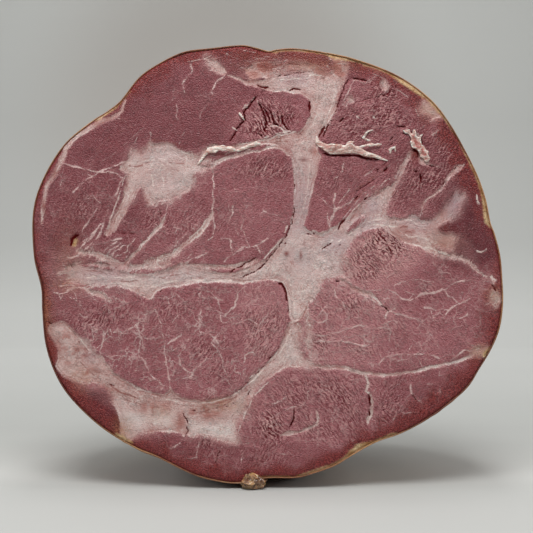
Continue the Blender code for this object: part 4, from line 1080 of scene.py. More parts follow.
def mesh_piece(name, points, faces, material):
    """A smooth-shaded object from points and faces, riding on the part's one body."""
    mesh = bpy.data.meshes.new(name)
    mesh.from_pydata([tuple(point) for point in points.tolist()], [], faces)
    mesh.materials.append(material)
    mesh.shade_smooth()
    obj = bpy.data.objects.new(name, mesh)
    bpy.context.scene.collection.objects.link(obj)
    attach(obj, "root")
    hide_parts("spalla_cotta")
    return obj


def rim_ring(step_count, inset):
    """The face's outline, drawn in by the inset."""
    ring = closed_curve(OUTLINE, step_count)
    return ring - outward(ring) * inset


def write_bake_map(mesh, spots):
    """The map for baking: a place in the square for each corner of each face."""
    layer = mesh.uv_layers.new(name="OFBake")
    layer.data.foreach_set("uv", np.ascontiguousarray(spots, np.float32).ravel())


def casing_bake_spots(grid):
    """Where each corner of the casing's faces lies in the bake's square."""
    height, columns = grid.shape[:2]
    step = np.linalg.norm(np.diff(grid, axis=0), axis=-1).mean(axis=1)
    up = 0.03 + 0.955 * np.concatenate(((0.0,), np.cumsum(step))) / step.sum()
    left = 0.005 + 0.99 * np.arange(columns) / columns
    right = left + 0.99 / columns
    low = np.repeat(up[:-1], columns)
    high = np.repeat(up[1:], columns)
    here = np.tile(left, height - 1)
    there = np.tile(right, height - 1)
    quads = np.stack((here, low, there, low, there, high, here, high), axis=-1).reshape(-1, 2)
    middle = (left + right) / 2.0
    top = np.full(columns, up[-1])
    floor = np.full(columns, 0.01)
    tips = np.stack((left, top, right, top, middle, top + 0.01), axis=-1)
    discs = np.stack((right, floor, left, floor, middle, floor + 0.008), axis=-1)
    return np.vstack((quads, np.hstack((tips, discs)).reshape(-1, 2)))


def ring_steps(count):
    """Each number round a ring, with the one after it."""
    return [(index, (index + 1) % count) for index in range(count)]


def filled(ring, spots):
    """Places and triangles of a flat mesh over a ring and the spots inside it."""
    every = [Vector(spot) for spot in np.vstack((ring, spots)).tolist()]
    found, _, triangles, _, _, _ = delaunay_2d_cdt(every, ring_steps(len(ring)), [], 1, 1e-6)
    return np.array([tuple(spot) for spot in found]), [tuple(corners) for corners in triangles]


def cut_bake_spots(u, v, count):
    """Where the cut's points, and the small disc of the slab's back, lie in the bake's square."""
    turn = 2.0 * np.pi * (np.arange(count) / count)
    across = (u + FACE_SIZE[0] / 2.0) / FACE_SIZE[0] * FACE_IN_SQUARE[0]
    up = v / FACE_SIZE[1] * FACE_IN_SQUARE[1]
    disc = np.array(BACK_DISC) + np.column_stack((np.cos(turn), np.sin(turn))) * BACK_DISC_REACH
    return np.vstack((np.column_stack((across, up)) + SQUARE_MARGIN, disc, BACK_DISC))


def cut_face(material):
    """The meat: a slab whose front is the cut with its relief."""
    pitch = FINE_PITCH
    rim = rim_ring(int(RIM_LENGTH / (RIM_STEP * pitch)), FACE_INSET)
    flat, faces = filled(rim, face_spots(rim, pitch))
    u, v = flat.T
    depth = np.maximum(depth_in(u, v, closed_curve(OUTLINE, OUTLINE_STEPS)), 0.0)
    tone, coarse, marbling, *grains = soft_ground(u, v)
    amounts = {
        "fat": fat_depth(u, v), "vein": vein_gap(u, v), "crack": crack_amount(u, v), "tone": tone,
        "coarse": np.minimum(0.3 * coarse + spots_amount(u, v, PITTED), MOST_COARSE),
        "marbling": marbling, "fray": np.maximum(LEAST_FRAY, spots_amount(u, v, FRAYS)),
        "rim": rim_and_shade_amounts(u, v, depth), "gold": gold_amounts(u, v), "line": line_and_glint_amount(u, v),
    }
    for name, spots in SPOTS.items():
        amounts[name] = spots_amount(u, v, spots)
    for number, grain in enumerate(grains):
        amounts[f"grain_{number}"] = grain
    height = face_relief(u, v, depth, smooth(-0.5, 0.5, amounts["fat"]), amounts["vein"],
                         amounts["crack"], amounts["coarse"])
    count = len(rim)
    back = len(flat)
    behind = np.vstack((rim, FACE_CENTRE))
    points = np.vstack((to_frame(u, v, height), to_frame(*behind.T, np.full(count + 1, -SLAB_DEPTH))))
    for index, after in ring_steps(count):
        faces.append((after, index, back + index, back + after))
        faces.append((back + after, back + index, back + count))
    obj = mesh_piece("cut_meat", points, faces, material)
    corner = np.empty(len(obj.data.loops), np.int32)
    obj.data.loops.foreach_get("vertex_index", corner)
    write_bake_map(obj.data, cut_bake_spots(u, v, count)[corner])
    pad = np.zeros(count + 1)
    for name, values in amounts.items():
        write_attribute(obj.data, name, np.concatenate((values, pad)))


def string_lines(angle, out_from_centre):
    """For each spot round the body, its distance to the nearest string line, in mm."""
    gaps = [np.abs((angle - string + 180.0) % 360.0 - 180.0) for string in STRING_ANGLES]
    return np.radians(np.min(gaps, axis=0)) * out_from_centre


def casing_surface(rim, sweep):
    """Smooth points of the casing for each rim point and each sweep, in face millimetres."""
    along = np.sin(sweep)[:, None]
    across = np.maximum(1.0 - along ** BODY_POWER, 0.0) ** (1.0 / BODY_POWER)
    offset = rim - np.array(FACE_CENTRE)
    length = np.hypot(offset[:, 0], offset[:, 1])[None, :]
    angle = np.degrees(np.arctan2(offset[:, 1], offset[:, 0]))[None, :] % 360.0
    behind = np.minimum(1.0, 5.0 * along)
    arc = string_lines(angle, 100.0)
    hump = np.exp(-(arc / STRING_GROOVE_WIDTH) ** 2)
    pull = LOBE_SWELL * (1.0 - np.exp(-(arc / (2.2 * STRING_GROOVE_WIDTH)) ** 2))
    pull = pull - STRING_GROOVE_DEPTH * hump
    share = 1.0 - (1.0 - UNDERSIDE_SHARE) * smooth(0.1, -0.5, np.sin(np.radians(angle)))
    swell = share * (CASING_SWELL * behind * (1.0 - along) + behind * pull)
    radius = (length + swell) * across
    side = offset / length.T
    x = FACE_CENTRE[0] + radius * side[:, 0][None, :]
    drop = TIED_END_DROP * along ** 1.5 + FLOOR_PRESS * behind
    z = FACE_CENTRE[1] - drop + radius * side[:, 1][None, :]
    y = BODY_DEPTH * along - PUCKER_DEPTH * np.exp(-(radius / PUCKER_RADIUS) ** 2)
    return np.stack((x, y, z), axis=-1), angle + 0.0 * along, along + 0.0 * angle


def surface_normals(points):
    """Outward normals of a grid that is closed along its second direction."""
    down = np.gradient(points, axis=0)
    round_run = np.roll(points, -1, axis=1) - np.roll(points, 1, axis=1)
    normal = np.cross(down, round_run)
    normal /= np.maximum(np.linalg.norm(normal, axis=-1, keepdims=True), 1e-9)
    return normal


def casing_detail(points, angle, along):
    """Fine relief of the casing, in mm, and how deep each spot lies in a string's mark."""
    radius = np.hypot(points[..., 0] - FACE_CENTRE[0], points[..., 2] - FACE_CENTRE[1])
    run = np.concatenate((np.zeros((1, points.shape[1])), np.cumsum(
        np.linalg.norm(np.diff(points, axis=0), axis=-1), axis=0)))
    gap = string_lines(angle, np.maximum(radius, 1.0))
    mark = np.exp(-(gap / 1.5) ** 2)
    twist = np.sin(2.0 * np.pi * (run / 3.4 + gap / 2.6))
    string = -1.0 * mark + 0.28 * mark * twist
    shoulder = 0.35 * np.exp(-((gap - 3.0) / 1.6) ** 2)
    round_way = np.radians(angle) * 100.0
    puckers = 0.45 * np.exp(-(gap / 9.0) ** 2) * noise(run / 3.6, round_way / 14.0, 61)
    lumps = 0.9 * layered_noise(points[..., 0] / 34.0 + points[..., 2] / 90.0,
                                points[..., 1] / 34.0 + points[..., 2] / 30.0, 62, 2)
    folds = (0.25 + 1.6 * along ** 6) * noise(round_way / 6.0, run / 60.0, 63)
    fine = 0.10 * layered_noise(round_way / 3.0, run / 4.5, 64, 2)
    fade = smooth(0.0, 10.0, run)
    return fade * (string + shoulder + puckers + lumps + folds + fine), mark * fade


def casing(material):
    """The cooked casing: a closed shell with a thin lip round the cut and a puckered end."""
    columns, rows = FINE_CASING
    rim = rim_ring(columns, 0.0)
    sweep = np.radians(np.linspace(0.0, CASING_SWEEP, rows))
    smooth_points, angle, along = casing_surface(rim, sweep)
    relief, mark = casing_detail(smooth_points, angle, along)
    points = smooth_points + surface_normals(smooth_points) * relief[..., None]
    points[..., 2] = np.maximum(points[..., 2], 0.0)
    points[0, :, 1] = LIP_BACK
    lip = []
    for inset, back_by in LIP_RINGS:
        ring = rim_ring(columns, inset)
        lip.append(np.column_stack((ring[:, 0], np.full(columns, back_by), ring[:, 1])))
    grid = np.concatenate((np.array(lip), points))
    height = len(grid)
    tip = points[-1].mean(axis=0) - (0.0, TIP_SINK, 0.0)
    inner = (FACE_CENTRE[0], LIP_RINGS[0][1], FACE_CENTRE[1])
    every = np.vstack((grid.reshape(-1, 3), tip, inner))
    index = np.arange(height * columns).reshape(height, columns)
    after = np.roll(index, -1, axis=1)
    quads = np.stack((index[:-1], after[:-1], after[1:], index[1:]), axis=-1).reshape(-1, 4)
    faces = [tuple(quad) for quad in quads.tolist()]
    last = index[-1, 0]
    tip_index = height * columns
    for column, following in ring_steps(columns):
        faces.append((int(last + column), int(last + following), tip_index))
        faces.append((following, column, tip_index + 1))
    obj = mesh_piece("casing", (every + (FACE_X, FACE_Y, 0.0)) * MM, faces, material)
    write_bake_map(obj.data, casing_bake_spots(grid))
    golden = np.interp(angle[0], *np.array(GOLDEN_EDGE).T)[None, :] + np.zeros((height, 1))
    edge = np.exp(-np.arange(height)[:, None] / (2.5 + 16.0 * (1.0 - golden) ** 2))
    mark = np.concatenate((np.zeros((len(lip), columns)), mark))
    for name, values in {"mark": mark, "edge": edge, "golden": golden}.items():
        write_attribute(obj.data, name, np.concatenate((values.ravel(), [0.0, 0.0])))


def lifted(u, v, anchors):
    """Height of a torn sheet above the cut, drawn smoothly from a few known heights."""
    total = np.zeros(u.shape)
    weight = np.zeros(u.shape)
    for anchor_u, anchor_v, height in anchors:
        near = 1.0 / ((u - anchor_u) ** 2 + (v - anchor_v) ** 2 + 0.4) ** 1.5
        total += near * height
        weight += near
    return total / weight


def torn_sheet(name, outline, anchors, thickness, pink, material):
    """One thin closed sheet of tendon standing off the cut."""
    ring = along_line(closed(outline), SHEET_EDGE_PITCH)[0][:-1]
    u, v = staggered(ring.min(axis=0), ring.max(axis=0), SHEET_PITCH)
    field = np.column_stack((u.ravel(), v.ravel()))
    field = field[depth_in(field[:, 0], field[:, 1], ring) > SHEET_CLEARANCE]
    flat, triangles = filled(ring, field)
    u, v = flat.T
    depth = np.maximum(depth_in(u, v, ring), 0.0)
    middle = 0.7 * lifted(u, v, anchors) + 0.3 * layered_noise(u / 2.0, v / 1.4, 71, 2)
    half = 0.5 * thickness * (0.18 + 0.82 * (1.0 - np.exp(-depth / 0.45)))
    size = len(flat)
    points = np.vstack((to_frame(u, v, middle + half), to_frame(u, v, middle - half)))
    anticlockwise = area_of(ring) > 0.0
    faces = []
    for triangle in triangles:
        faces.append(triangle)
        faces.append(tuple(size + corner for corner in reversed(triangle)))
    for index, after in ring_steps(len(ring)):
        side = (after, index, size + index, size + after)
        faces.append(side if anticlockwise else tuple(reversed(side)))
    obj = mesh_piece(name, points, faces, material)
    write_attribute(obj.data, "inner", np.tile(pink * (1.0 - np.exp(-(depth / 0.8) ** 2)), 2))


def area_of(ring):
    """Signed area of a closed ring, positive when it runs anticlockwise."""
    after = np.roll(ring, -1, axis=0)
    return 0.5 * float(np.sum(ring[:, 0] * after[:, 1] - after[:, 0] * ring[:, 1]))


def jelly_nub(material):
    """A smooth lump of set jelly at the foot: an uneven ball, flat where it meets the floor."""
    shape = bmesh.new()
    bmesh.ops.create_icosphere(shape, subdivisions=5, radius=1.0)
    ball = np.array([vert.co for vert in shape.verts])
    faces = [tuple(vert.index for vert in face.verts) for face in shape.faces]
    shape.free()
    bumps = layered_noise(ball[:, 0] * 1.6 + 3.1 * ball[:, 1], ball[:, 2] * 1.6 - ball[:, 1], 81, 3)
    spots = np.array(JELLY_CENTRE) + ball * np.array(JELLY_RADII) * (1.0 + JELLY_LUMPS * bumps)[:, None]
    spots[:, 2] = np.maximum(spots[:, 2], JELLY_FOOT)
    mesh_piece("jelly_nub", (spots + (FACE_X, FACE_Y, 0.0)) * MM, faces, material)


def node(tree, kind, inputs=None, **settings):
    """Add a node, apply its settings, and link or set its inputs by name or number."""
    made = tree.nodes.new(kind)
    for name, value in settings.items():
        setattr(made, name, value)
    for key, value in (inputs or {}).items():
        if isinstance(value, bpy.types.NodeSocket):
            tree.links.new(value, made.inputs[key])
        else:
            made.inputs[key].default_value = value
    return made


def amount(tree, name):
    """A vertex attribute as a number."""
    return node(tree, "ShaderNodeAttribute", attribute_name=name).outputs["Fac"]


def vector_maths(tree, kind, first, second, out=0):
    """A vector node's result."""
    key = "Scale" if kind == "SCALE" else 1
    return node(tree, "ShaderNodeVectorMath", {0: first, key: second}, operation=kind).outputs[out]


def place(tree):
    """Place on the object in millimetres."""
    at = node(tree, "ShaderNodeTexCoord").outputs["Object"]
    return vector_maths(tree, "SCALE", at, 1000.0)


def cloud(tree, vector, scale, detail=2.0, rough=0.5, twist=0.0):
    """Noise as a number round 0.5."""
    made = node(tree, "ShaderNodeTexNoise", {"Vector": vector, "Scale": scale, "Detail": detail,
                                             "Roughness": rough, "Distortion": twist})
    return made.outputs["Fac"]


def stretch(tree, value, low, high, low_out=0.0, high_out=1.0):
    """Map a range of values smoothly to another."""
    made = node(tree, "ShaderNodeMapRange", {"Value": value, "From Min": low, "From Max": high,
                                             "To Min": low_out, "To Max": high_out},
                interpolation_type="SMOOTHSTEP")
    return made.outputs["Result"]


def blend(tree, share, first, second, kind="MIX"):
    """Mix two colours."""
    made = node(tree, "ShaderNodeMix", {0: share, 6: first, 7: second},
                data_type="RGBA", blend_type=kind)
    return made.outputs[2]


def maths(tree, kind, first, second=0.5, third=0.0):
    """A maths node's result."""
    return node(tree, "ShaderNodeMath", {0: first, 1: second, 2: third}, operation=kind).outputs[0]


def times(tree, first, second):
    """Two values multiplied."""
    return maths(tree, "MULTIPLY", first, second)


def plus(tree, base, value, factor):
    """A base value plus another times a factor."""
    return maths(tree, "MULTIPLY_ADD", value, factor, base)


def centred(tree, value):
    """A noise value moved down so that its middle is 0."""
    return maths(tree, "SUBTRACT", value, 0.5)


def ramp(tree, value, stops):
    """A run of colours along a value."""
    made = node(tree, "ShaderNodeValToRGB", {0: value})
    elements = made.color_ramp.elements
    while len(elements) < len(stops):
        elements.new(1.0)
    for element, (position, colour) in zip(elements, stops):
        element.position = position
        element.color = srgb(*colour)
    return made.outputs["Color"]


def varied(tree, value, *layers):
    """A value with noises added to it, each centred on 0 and times its own factor."""
    for layer, factor in layers:
        value = plus(tree, value, centred(tree, layer), factor)
    return value


def threads(tree, vector, scale, detail, rough, twist, fade):
    """Thin wandering threads where a noise crosses its middle value: 1 inside, fading out."""
    gap = maths(tree, "ABSOLUTE", centred(tree, cloud(tree, vector, scale, detail, rough, twist)))
    return stretch(tree, gap, *fade)


def cell_walls(tree, vector, scale):
    """Distance to the nearest wall between irregular cells."""
    made = node(tree, "ShaderNodeTexVoronoi", {"Vector": vector, "Scale": scale},
                feature="DISTANCE_TO_EDGE")
    return made.outputs["Distance"]


def parts_of(tree, vector):
    """A vector's X, Y and Z."""
    return node(tree, "ShaderNodeSeparateXYZ", {0: vector}).outputs


def stretched(tree, vector, factors):
    """A place multiplied by a factor on each axis."""
    return vector_maths(tree, "MULTIPLY", vector, factors)


def moved(tree, at, reach, scale, vector=None):
    """A place, or another vector, pushed about by the noise at the place: about half the reach."""
    push = node(tree, "ShaderNodeTexNoise", {"Vector": at, "Scale": scale, "Detail": 2.0})
    push = vector_maths(tree, "SUBTRACT", push.outputs["Color"], (0.5, 0.5, 0.5))
    vector = at if vector is None else vector
    return vector_maths(tree, "ADD", vector, vector_maths(tree, "SCALE", push, reach))


def turned(tree, at, degrees, along, across):
    """The place on the face turned to a direction, then measured in lengths along and across it."""
    made = node(tree, "ShaderNodeMapping", {
        "Vector": at, "Rotation": (0.0, -math.radians(degrees), 0.0),
        "Scale": (along, 1.0, across)}, vector_type="TEXTURE")
    return made.outputs[0]


def grain(tree, at, along, across, detail, rough, twist):
    """Noise drawn out along each grain direction, as strong as that direction's share."""
    total = 0.5
    for number, turn in enumerate(GRAIN_TURNS):
        layer = cloud(tree, turned(tree, at, turn, along, across), 1.0, detail, rough, twist)
        total = plus(tree, total, centred(tree, layer), amount(tree, f"grain_{number}"))
    return total


def new_material(name):
    """A material with its tree and its Principled shader."""
    material = bpy.data.materials.new(name)
    material.use_nodes = True
    return material, material.node_tree, material.node_tree.nodes["Principled BSDF"]


def set_surface(tree, shader, colour, bump, fixed):
    """Link the colour and the bump (height, strength, distance), and set what is the same all over."""
    tree.links.new(colour, shader.inputs["Base Color"])
    height, strength, distance = bump
    made = node(tree, "ShaderNodeBump", {"Height": height, "Strength": strength, "Distance": distance})
    tree.links.new(made.outputs[0], shader.inputs["Normal"])
    for name, value in fixed.items():
        shader.inputs[name].default_value = value


def cut_fields(tree):
    """The fields that the cut's colours and bumps are made from: attributes, noises and grain."""
    at = place(tree)
    cut = SimpleNamespace(at=at, broad=cloud(tree, at, 0.035, 3.0), fine=cloud(tree, at, 1.9, 0.0),
                          mid=cloud(tree, at, 0.2, 4.0, 0.6))
    for name in ("fat", "fray", "vein", "coarse", "marbling", "soft", "milky"):
        setattr(cut, name, amount(tree, name))
    cut.coarse = times(tree, cut.coarse, stretch(tree, cloud(tree, at, 0.075, 3.0),
                                                 0.36, 0.62, 0.55, 1.15))
    cut.strands = grain(tree, at, 4.2, 0.66, 3.0, 0.6, 0.5)
    pushed = moved(tree, at, 1.2, 0.7, moved(tree, at, 6.0, 0.12))
    rows = 0.0
    for degrees, numbers in ROW_TURNS:
        across = turned(tree, pushed, degrees, 1.0, ROW_PITCH / (2.0 * math.pi))
        wave = maths(tree, "SINE", parts_of(tree, across)["Z"])
        for number in numbers:
            rows = plus(tree, rows, wave, amount(tree, f"grain_{number}"))
    strokes = plus(tree, grain(tree, pushed, 2.3, 0.6, 1.0, 0.4, 0.15), rows, 0.075)
    # Grooves between the bundles get painted shade, and their crests get painted highlight.
    cut.groove = stretch(tree, strokes, 0.46, 0.39)
    cut.crest = stretch(tree, strokes, 0.53, 0.60)
    cut.pits = maths(tree, "SUBTRACT", times(tree, cut.crest, 0.6), cut.groove)
    cut.pits = times(tree, cut.pits, cut.coarse)
    return cut


def add_marbling(tree, cut):
    """Add to the fields the thin fat between bundles: a web of cell walls, and short threads."""
    web_at = moved(tree, cut.at, 4.0, 0.4, moved(tree, cut.at, 9.0, 0.12))
    web = varied(tree, cell_walls(tree, web_at, 0.125), (cut.fine, 0.10))
    web = times(tree, stretch(tree, web, 0.050, 0.010),
                stretch(tree, cloud(tree, cut.at, 0.11, 3.0), 0.42, 0.60))
    net_at = moved(tree, cut.at, 1.8, 0.9, moved(tree, cut.at, 5.0, 0.25))
    net = times(tree, stretch(tree, cell_walls(tree, net_at, 0.26), 0.075, 0.015),
                stretch(tree, cloud(tree, cut.at, 0.2, 3.0), 0.44, 0.58, 0.0, 0.5))
    cut.web = times(tree, maths(tree, "MAXIMUM", web, net), cut.marbling)
    cut.worm = times(tree, threads(tree, cut.at, 0.34, 2.0, 0.5, 1.8, (0.022, 0.004)),
                     stretch(tree, cloud(tree, cut.at, 0.17, 2.0), 0.47, 0.60))


def lean_colour(tree, cut):
    """The lean meat with its bundles, painted shade in the grooves between them and painted highlight on
    their crests, marbling, veins, and the browned rim with painted shade where the face rounds off.
    """
    tone = varied(
        tree, plus(tree, 0.47, amount(tree, "tone"), 0.5), (cut.broad, 0.22), (cut.mid, 0.07),
        (cut.strands, plus(tree, 0.11, cut.coarse, 0.35)),
        (cut.fine, plus(tree, 0.28, cut.coarse, 1.3)))
    lean = ramp(tree, tone, LEAN_RAMP)
    # Painted shade in the grooves and painted highlight on the crests of the bundles.
    lean = blend(tree, times(tree, cut.groove, cut.coarse), lean, srgb(102, 32, 38))
    crest = times(tree, times(tree, cut.crest, cut.coarse), 0.75)
    lean = blend(tree, crest, lean, srgb(208, 158, 154))
    lean = blend(tree, times(tree, cut.web, 0.9), lean, srgb(212, 178, 174))
    worm = times(tree, cut.worm, plus(tree, 0.05, cut.marbling, 0.6))
    lean = blend(tree, worm, lean, srgb(204, 166, 162))
    ragged = varied(tree, cut.vein, (cut.mid, 0.8), (cut.fine, 0.4))
    vein_core = times(tree, stretch(tree, ragged, 0.48, 0.14),
                      stretch(tree, cloud(tree, cut.at, 0.16, 2.0), 0.36, 0.56, 0.55, 1.0))
    lean = blend(tree, stretch(tree, cut.vein, 1.5, 0.2, 0.0, 0.14), lean, srgb(186, 140, 138))
    lean = blend(tree, vein_core, lean, srgb(212, 180, 176))
    # The browned edge of the meat, with painted shade where the face rounds off.
    rim = varied(tree, amount(tree, "rim"), (cut.mid, 0.9), (cut.strands, 0.5))
    rim_and_shade_colour = blend(tree, stretch(tree, cut.fine, 0.35, 0.65), srgb(92, 15, 19), srgb(139, 52, 48))
    return blend(tree, stretch(tree, rim, 0.05, 0.8, 0.0, 0.92), lean, rim_and_shade_colour)


def add_fat_fields(tree, cut):
    """Add to the fields the fat's frayed edge, its share at each place, its layers and fibres."""
    drift = plus(tree, times(tree, centred(tree, cut.mid), 2.6), centred(tree, cut.strands), 3.4)
    cut.edge = varied(tree, plus(tree, cut.fat, drift, cut.fray), (cut.fine, 0.8))
    reach = maths(tree, "ADD", cut.soft, plus(tree, 0.16, cut.fray, 0.24))
    cut.share = node(tree, "ShaderNodeMapRange", {
        "Value": cut.edge, "From Min": times(tree, reach, -1.0), "From Max": reach},
        interpolation_type="SMOOTHSTEP").outputs["Result"]
    spot = parts_of(tree, cut.at)
    layer_at = node(tree, "ShaderNodeCombineXYZ", {
        "X": times(tree, cut.fat, 0.75), "Y": spot["X"], "Z": spot["Z"]}).outputs[0]
    cut.layers = cloud(tree, stretched(tree, layer_at, (1.0, 0.09, 0.09)), 1.0, 3.0, 0.6, 0.4)
    cut.fibres = cloud(tree, stretched(tree, layer_at, (1.8, 0.06, 0.06)), 1.0, 2.0, 0.6)


def fat_colour(tree, cut):
    """The fat and tendon with their layers, fibres, creases and pale seams."""
    white = varied(
        tree, plus(tree, 0.385, cut.milky, 0.5), (cut.layers, 0.4),
        (cloud(tree, cut.at, 0.085, 3.0), 0.9), (cut.mid, 0.3), (cut.strands, 0.55),
        (cut.fine, plus(tree, 0.6, cut.milky, -0.4)))
    white = maths(tree, "ADD", white, stretch(tree, cut.fat, 0.0, 4.0, -0.10, 0.14))
    near_edge = maths(tree, "SUBTRACT", stretch(tree, cut.fat, 3.5, 0.5), times(tree, cut.soft, 0.6))
    near_edge = maths(tree, "MAXIMUM", near_edge, 0.0)
    white = plus(tree, white, times(tree, centred(tree, cut.fibres), near_edge), 1.1)
    colour = ramp(tree, white, FAT_RAMP)
    for scale, low, wanted, paint in CREASES:
        crease = times(tree, threads(tree, cut.at, scale, 3.0, 0.5, 1.4, (0.026, 0.004)), stretch(
            tree, cloud(tree, cut.at, 0.6 * scale, 2.0), low, low + 0.12, 0.0, wanted))
        colour = blend(tree, crease, colour, srgb(*paint))
    seam = maths(tree, "ABSOLUTE", maths(tree, "SUBTRACT", cut.edge, 0.45))
    seam = times(tree, stretch(tree, seam, 0.5, 0.1),
                 stretch(tree, cloud(tree, cut.at, 0.12, 2.0), 0.42, 0.58, 0.0, 0.5))
    seam = times(tree, seam, stretch(tree, cut.soft, 0.7, 0.0))
    colour = blend(tree, seam, colour, srgb(232, 216, 210))
    blush = times(tree, amount(tree, "blush"), stretch(tree, cut.mid, 0.38, 0.6, 0.35, 1.5))
    return blend(tree, blush, colour, srgb(168, 112, 104))


def meat_material():
    """Moist cooked pork with fat, tendon and marbling."""
    material, tree, shader = new_material("moist_cut_pork")
    cut = cut_fields(tree)
    add_marbling(tree, cut)
    add_fat_fields(tree, cut)
    haze = times(tree, stretch(tree, maths(tree, "DIVIDE", cut.edge, cut.fray), -4.5, 0.0), 0.22)
    lean = blend(tree, haze, lean_colour(tree, cut), srgb(184, 140, 138))
    colour = blend(tree, cut.share, lean, fat_colour(tree, cut))
    cool = times(tree, amount(tree, "cool"), times(tree, cut.share, 0.5))
    colour = blend(tree, cool, colour, srgb(166, 148, 158))
    amber = times(tree, amount(tree, "amber"), stretch(tree, cut.fine, 0.38, 0.62, 0.3, 1.2))
    colour = blend(tree, amber, colour, srgb(168, 122, 78))
    # White lines of the fat and a few painted highlights (glints), then dark lines.
    line = times(tree, amount(tree, "line"),
                 stretch(tree, cloud(tree, cut.at, 0.25, 3.0), 0.36, 0.56, 0.35, 1.1))
    colour = blend(tree, stretch(tree, line, 0.12, 0.75, 0.0, 0.85), colour, srgb(230, 212, 204))
    colour = blend(tree, stretch(tree, line, -0.12, -0.6, 0.0, 0.75), colour, srgb(136, 76, 66))
    colour = blend(tree, amount(tree, "red"), colour, srgb(122, 48, 42))
    gold = blend(tree, stretch(tree, cut.mid, 0.3, 0.7), srgb(160, 114, 66), srgb(220, 190, 148))
    colour = blend(tree, amount(tree, "gold"), colour, gold)
    crack = amount(tree, "crack")
    # Painted shade inside the cracks: the meat's dark red taken near black.
    crack_shade = stretch(tree, varied(tree, crack, (cut.fine, 0.9)), 0.14, 0.62, 0.0, 0.97)
    colour = blend(tree, crack_shade, colour, srgb(84, 12, 14))

    wet = plus(tree, 0.28, cloud(tree, cut.at, 0.5, 3.0), 0.30)
    tree.links.new(wet, shader.inputs["Roughness"])
    gleam = maths(tree, "MAXIMUM", plus(tree, plus(tree, 0.34, cut.pits, 0.25), crack, -0.7), 0.0)
    tree.links.new(gleam, shader.inputs["Specular IOR Level"])
    bumps = plus(tree, times(tree, cut.strands, 0.35), cut.pits, 0.5)
    bumps = times(tree, bumps, maths(tree, "SUBTRACT", 1.0, cut.share))
    bumps = plus(tree, plus(tree, bumps, cut.worm, 0.3), cut.web, 0.4)
    bumps = plus(tree, bumps, cut.fine, plus(tree, 0.6, cut.share, -0.3))
    bumps = plus(tree, bumps, times(tree, cut.layers, cut.share), 0.4)
    set_surface(tree, shader, colour, (bumps, 1.0, 0.0008), {
        "Subsurface Weight": 0.12, "Subsurface Radius": (1.0, 0.42, 0.34),
        "Subsurface Scale": 0.0012})
    return material


def casing_material():
    """Thin golden-brown casing over lean and fat."""
    material, tree, shader = new_material("cooked_casing")
    at = place(tree)
    patch = cloud(tree, at, 0.024, 5.0, 0.62, 0.7)
    mid = cloud(tree, at, 0.12, 4.0, 0.6)
    fine = cloud(tree, at, 0.8, 4.0, 0.65)
    colour = blend(tree, stretch(tree, patch, 0.40, 0.62), srgb(128, 66, 48), srgb(186, 142, 100))
    vessel = threads(tree, at, 0.05, 4.0, 0.5, 2.0, (0.014, 0.0))
    for share, paint in ((stretch(tree, mid, 0.48, 0.70, 0.0, 0.6), (138, 78, 54)),
                         (stretch(tree, mid, 0.46, 0.32, 0.0, 0.45), (198, 160, 118)),
                         (stretch(tree, fine, 0.52, 0.74, 0.0, 0.5), (92, 44, 34)),
                         (times(tree, vessel, 0.5), (96, 40, 30)),
                         (times(tree, amount(tree, "mark"), 0.6), (158, 108, 70))):
        colour = blend(tree, share, colour, srgb(*paint))
    worn = stretch(tree, cloud(tree, at, 0.06, 4.0, 0.65), 0.36, 0.54, 0.35, 1.0)
    edge_colour = blend(tree, times(tree, worn, amount(tree, "golden")),
                        srgb(84, 24, 22), srgb(184, 142, 92))
    colour = blend(tree, times(tree, amount(tree, "edge"), 0.95), colour, edge_colour)
    tree.links.new(plus(tree, 0.34, mid, 0.3), shader.inputs["Roughness"])
    skin = times(tree, stretch(tree, cell_walls(tree, at, 0.75), 0.0, 0.18), 0.35)
    height = maths(tree, "ADD", times(tree, fine, 0.8), skin)
    set_surface(tree, shader, colour, (height, 0.9, 0.0006), {
        "Coat Weight": 0.1, "Coat Roughness": 0.35, "Subsurface Weight": 0.15,
        "Subsurface Radius": (1.0, 0.5, 0.25), "Subsurface Scale": 0.002})
    return material


def tendon_material():
    """Torn white tendon, wet and half see-through at its thin edges."""
    material, tree, shader = new_material("torn_tendon")
    at = place(tree)
    streak = stretched(tree, moved(tree, at, 1.5, 0.4), (0.35, 0.35, 1.5))
    fibre = cloud(tree, streak, 0.9, 3.0, 0.65)
    colour = blend(tree, stretch(tree, fibre, 0.36, 0.62), srgb(198, 156, 144), srgb(240, 228, 218))
    inner = times(tree, amount(tree, "inner"),
                  stretch(tree, cloud(tree, at, 0.5, 3.0), 0.38, 0.58, 0.35, 1.15))
    colour = blend(tree, inner, colour, srgb(170, 92, 84))
    set_surface(tree, shader, colour, (fibre, 0.9, 0.0007), {
        "Roughness": 0.3, "Subsurface Weight": 0.35, "Subsurface Radius": (1.0, 0.55, 0.5),
        "Subsurface Scale": 0.0015})
    return material


def jelly_material():
    """Set brown-gold cooking jelly."""
    material, tree, shader = new_material("set_jelly")
    at = place(tree)
    mid = cloud(tree, at, 0.35, 4.0, 0.6)
    colour = blend(tree, stretch(tree, mid, 0.35, 0.65), srgb(92, 58, 38), srgb(176, 138, 98))
    set_surface(tree, shader, colour, (cloud(tree, at, 0.9, 3.0), 0.5, 0.0005), {
        "Roughness": 0.18, "Coat Weight": 0.6, "Coat Roughness": 0.08, "Subsurface Weight": 0.4,
        "Subsurface Radius": (1.0, 0.5, 0.2), "Subsurface Scale": 0.003})
    return material


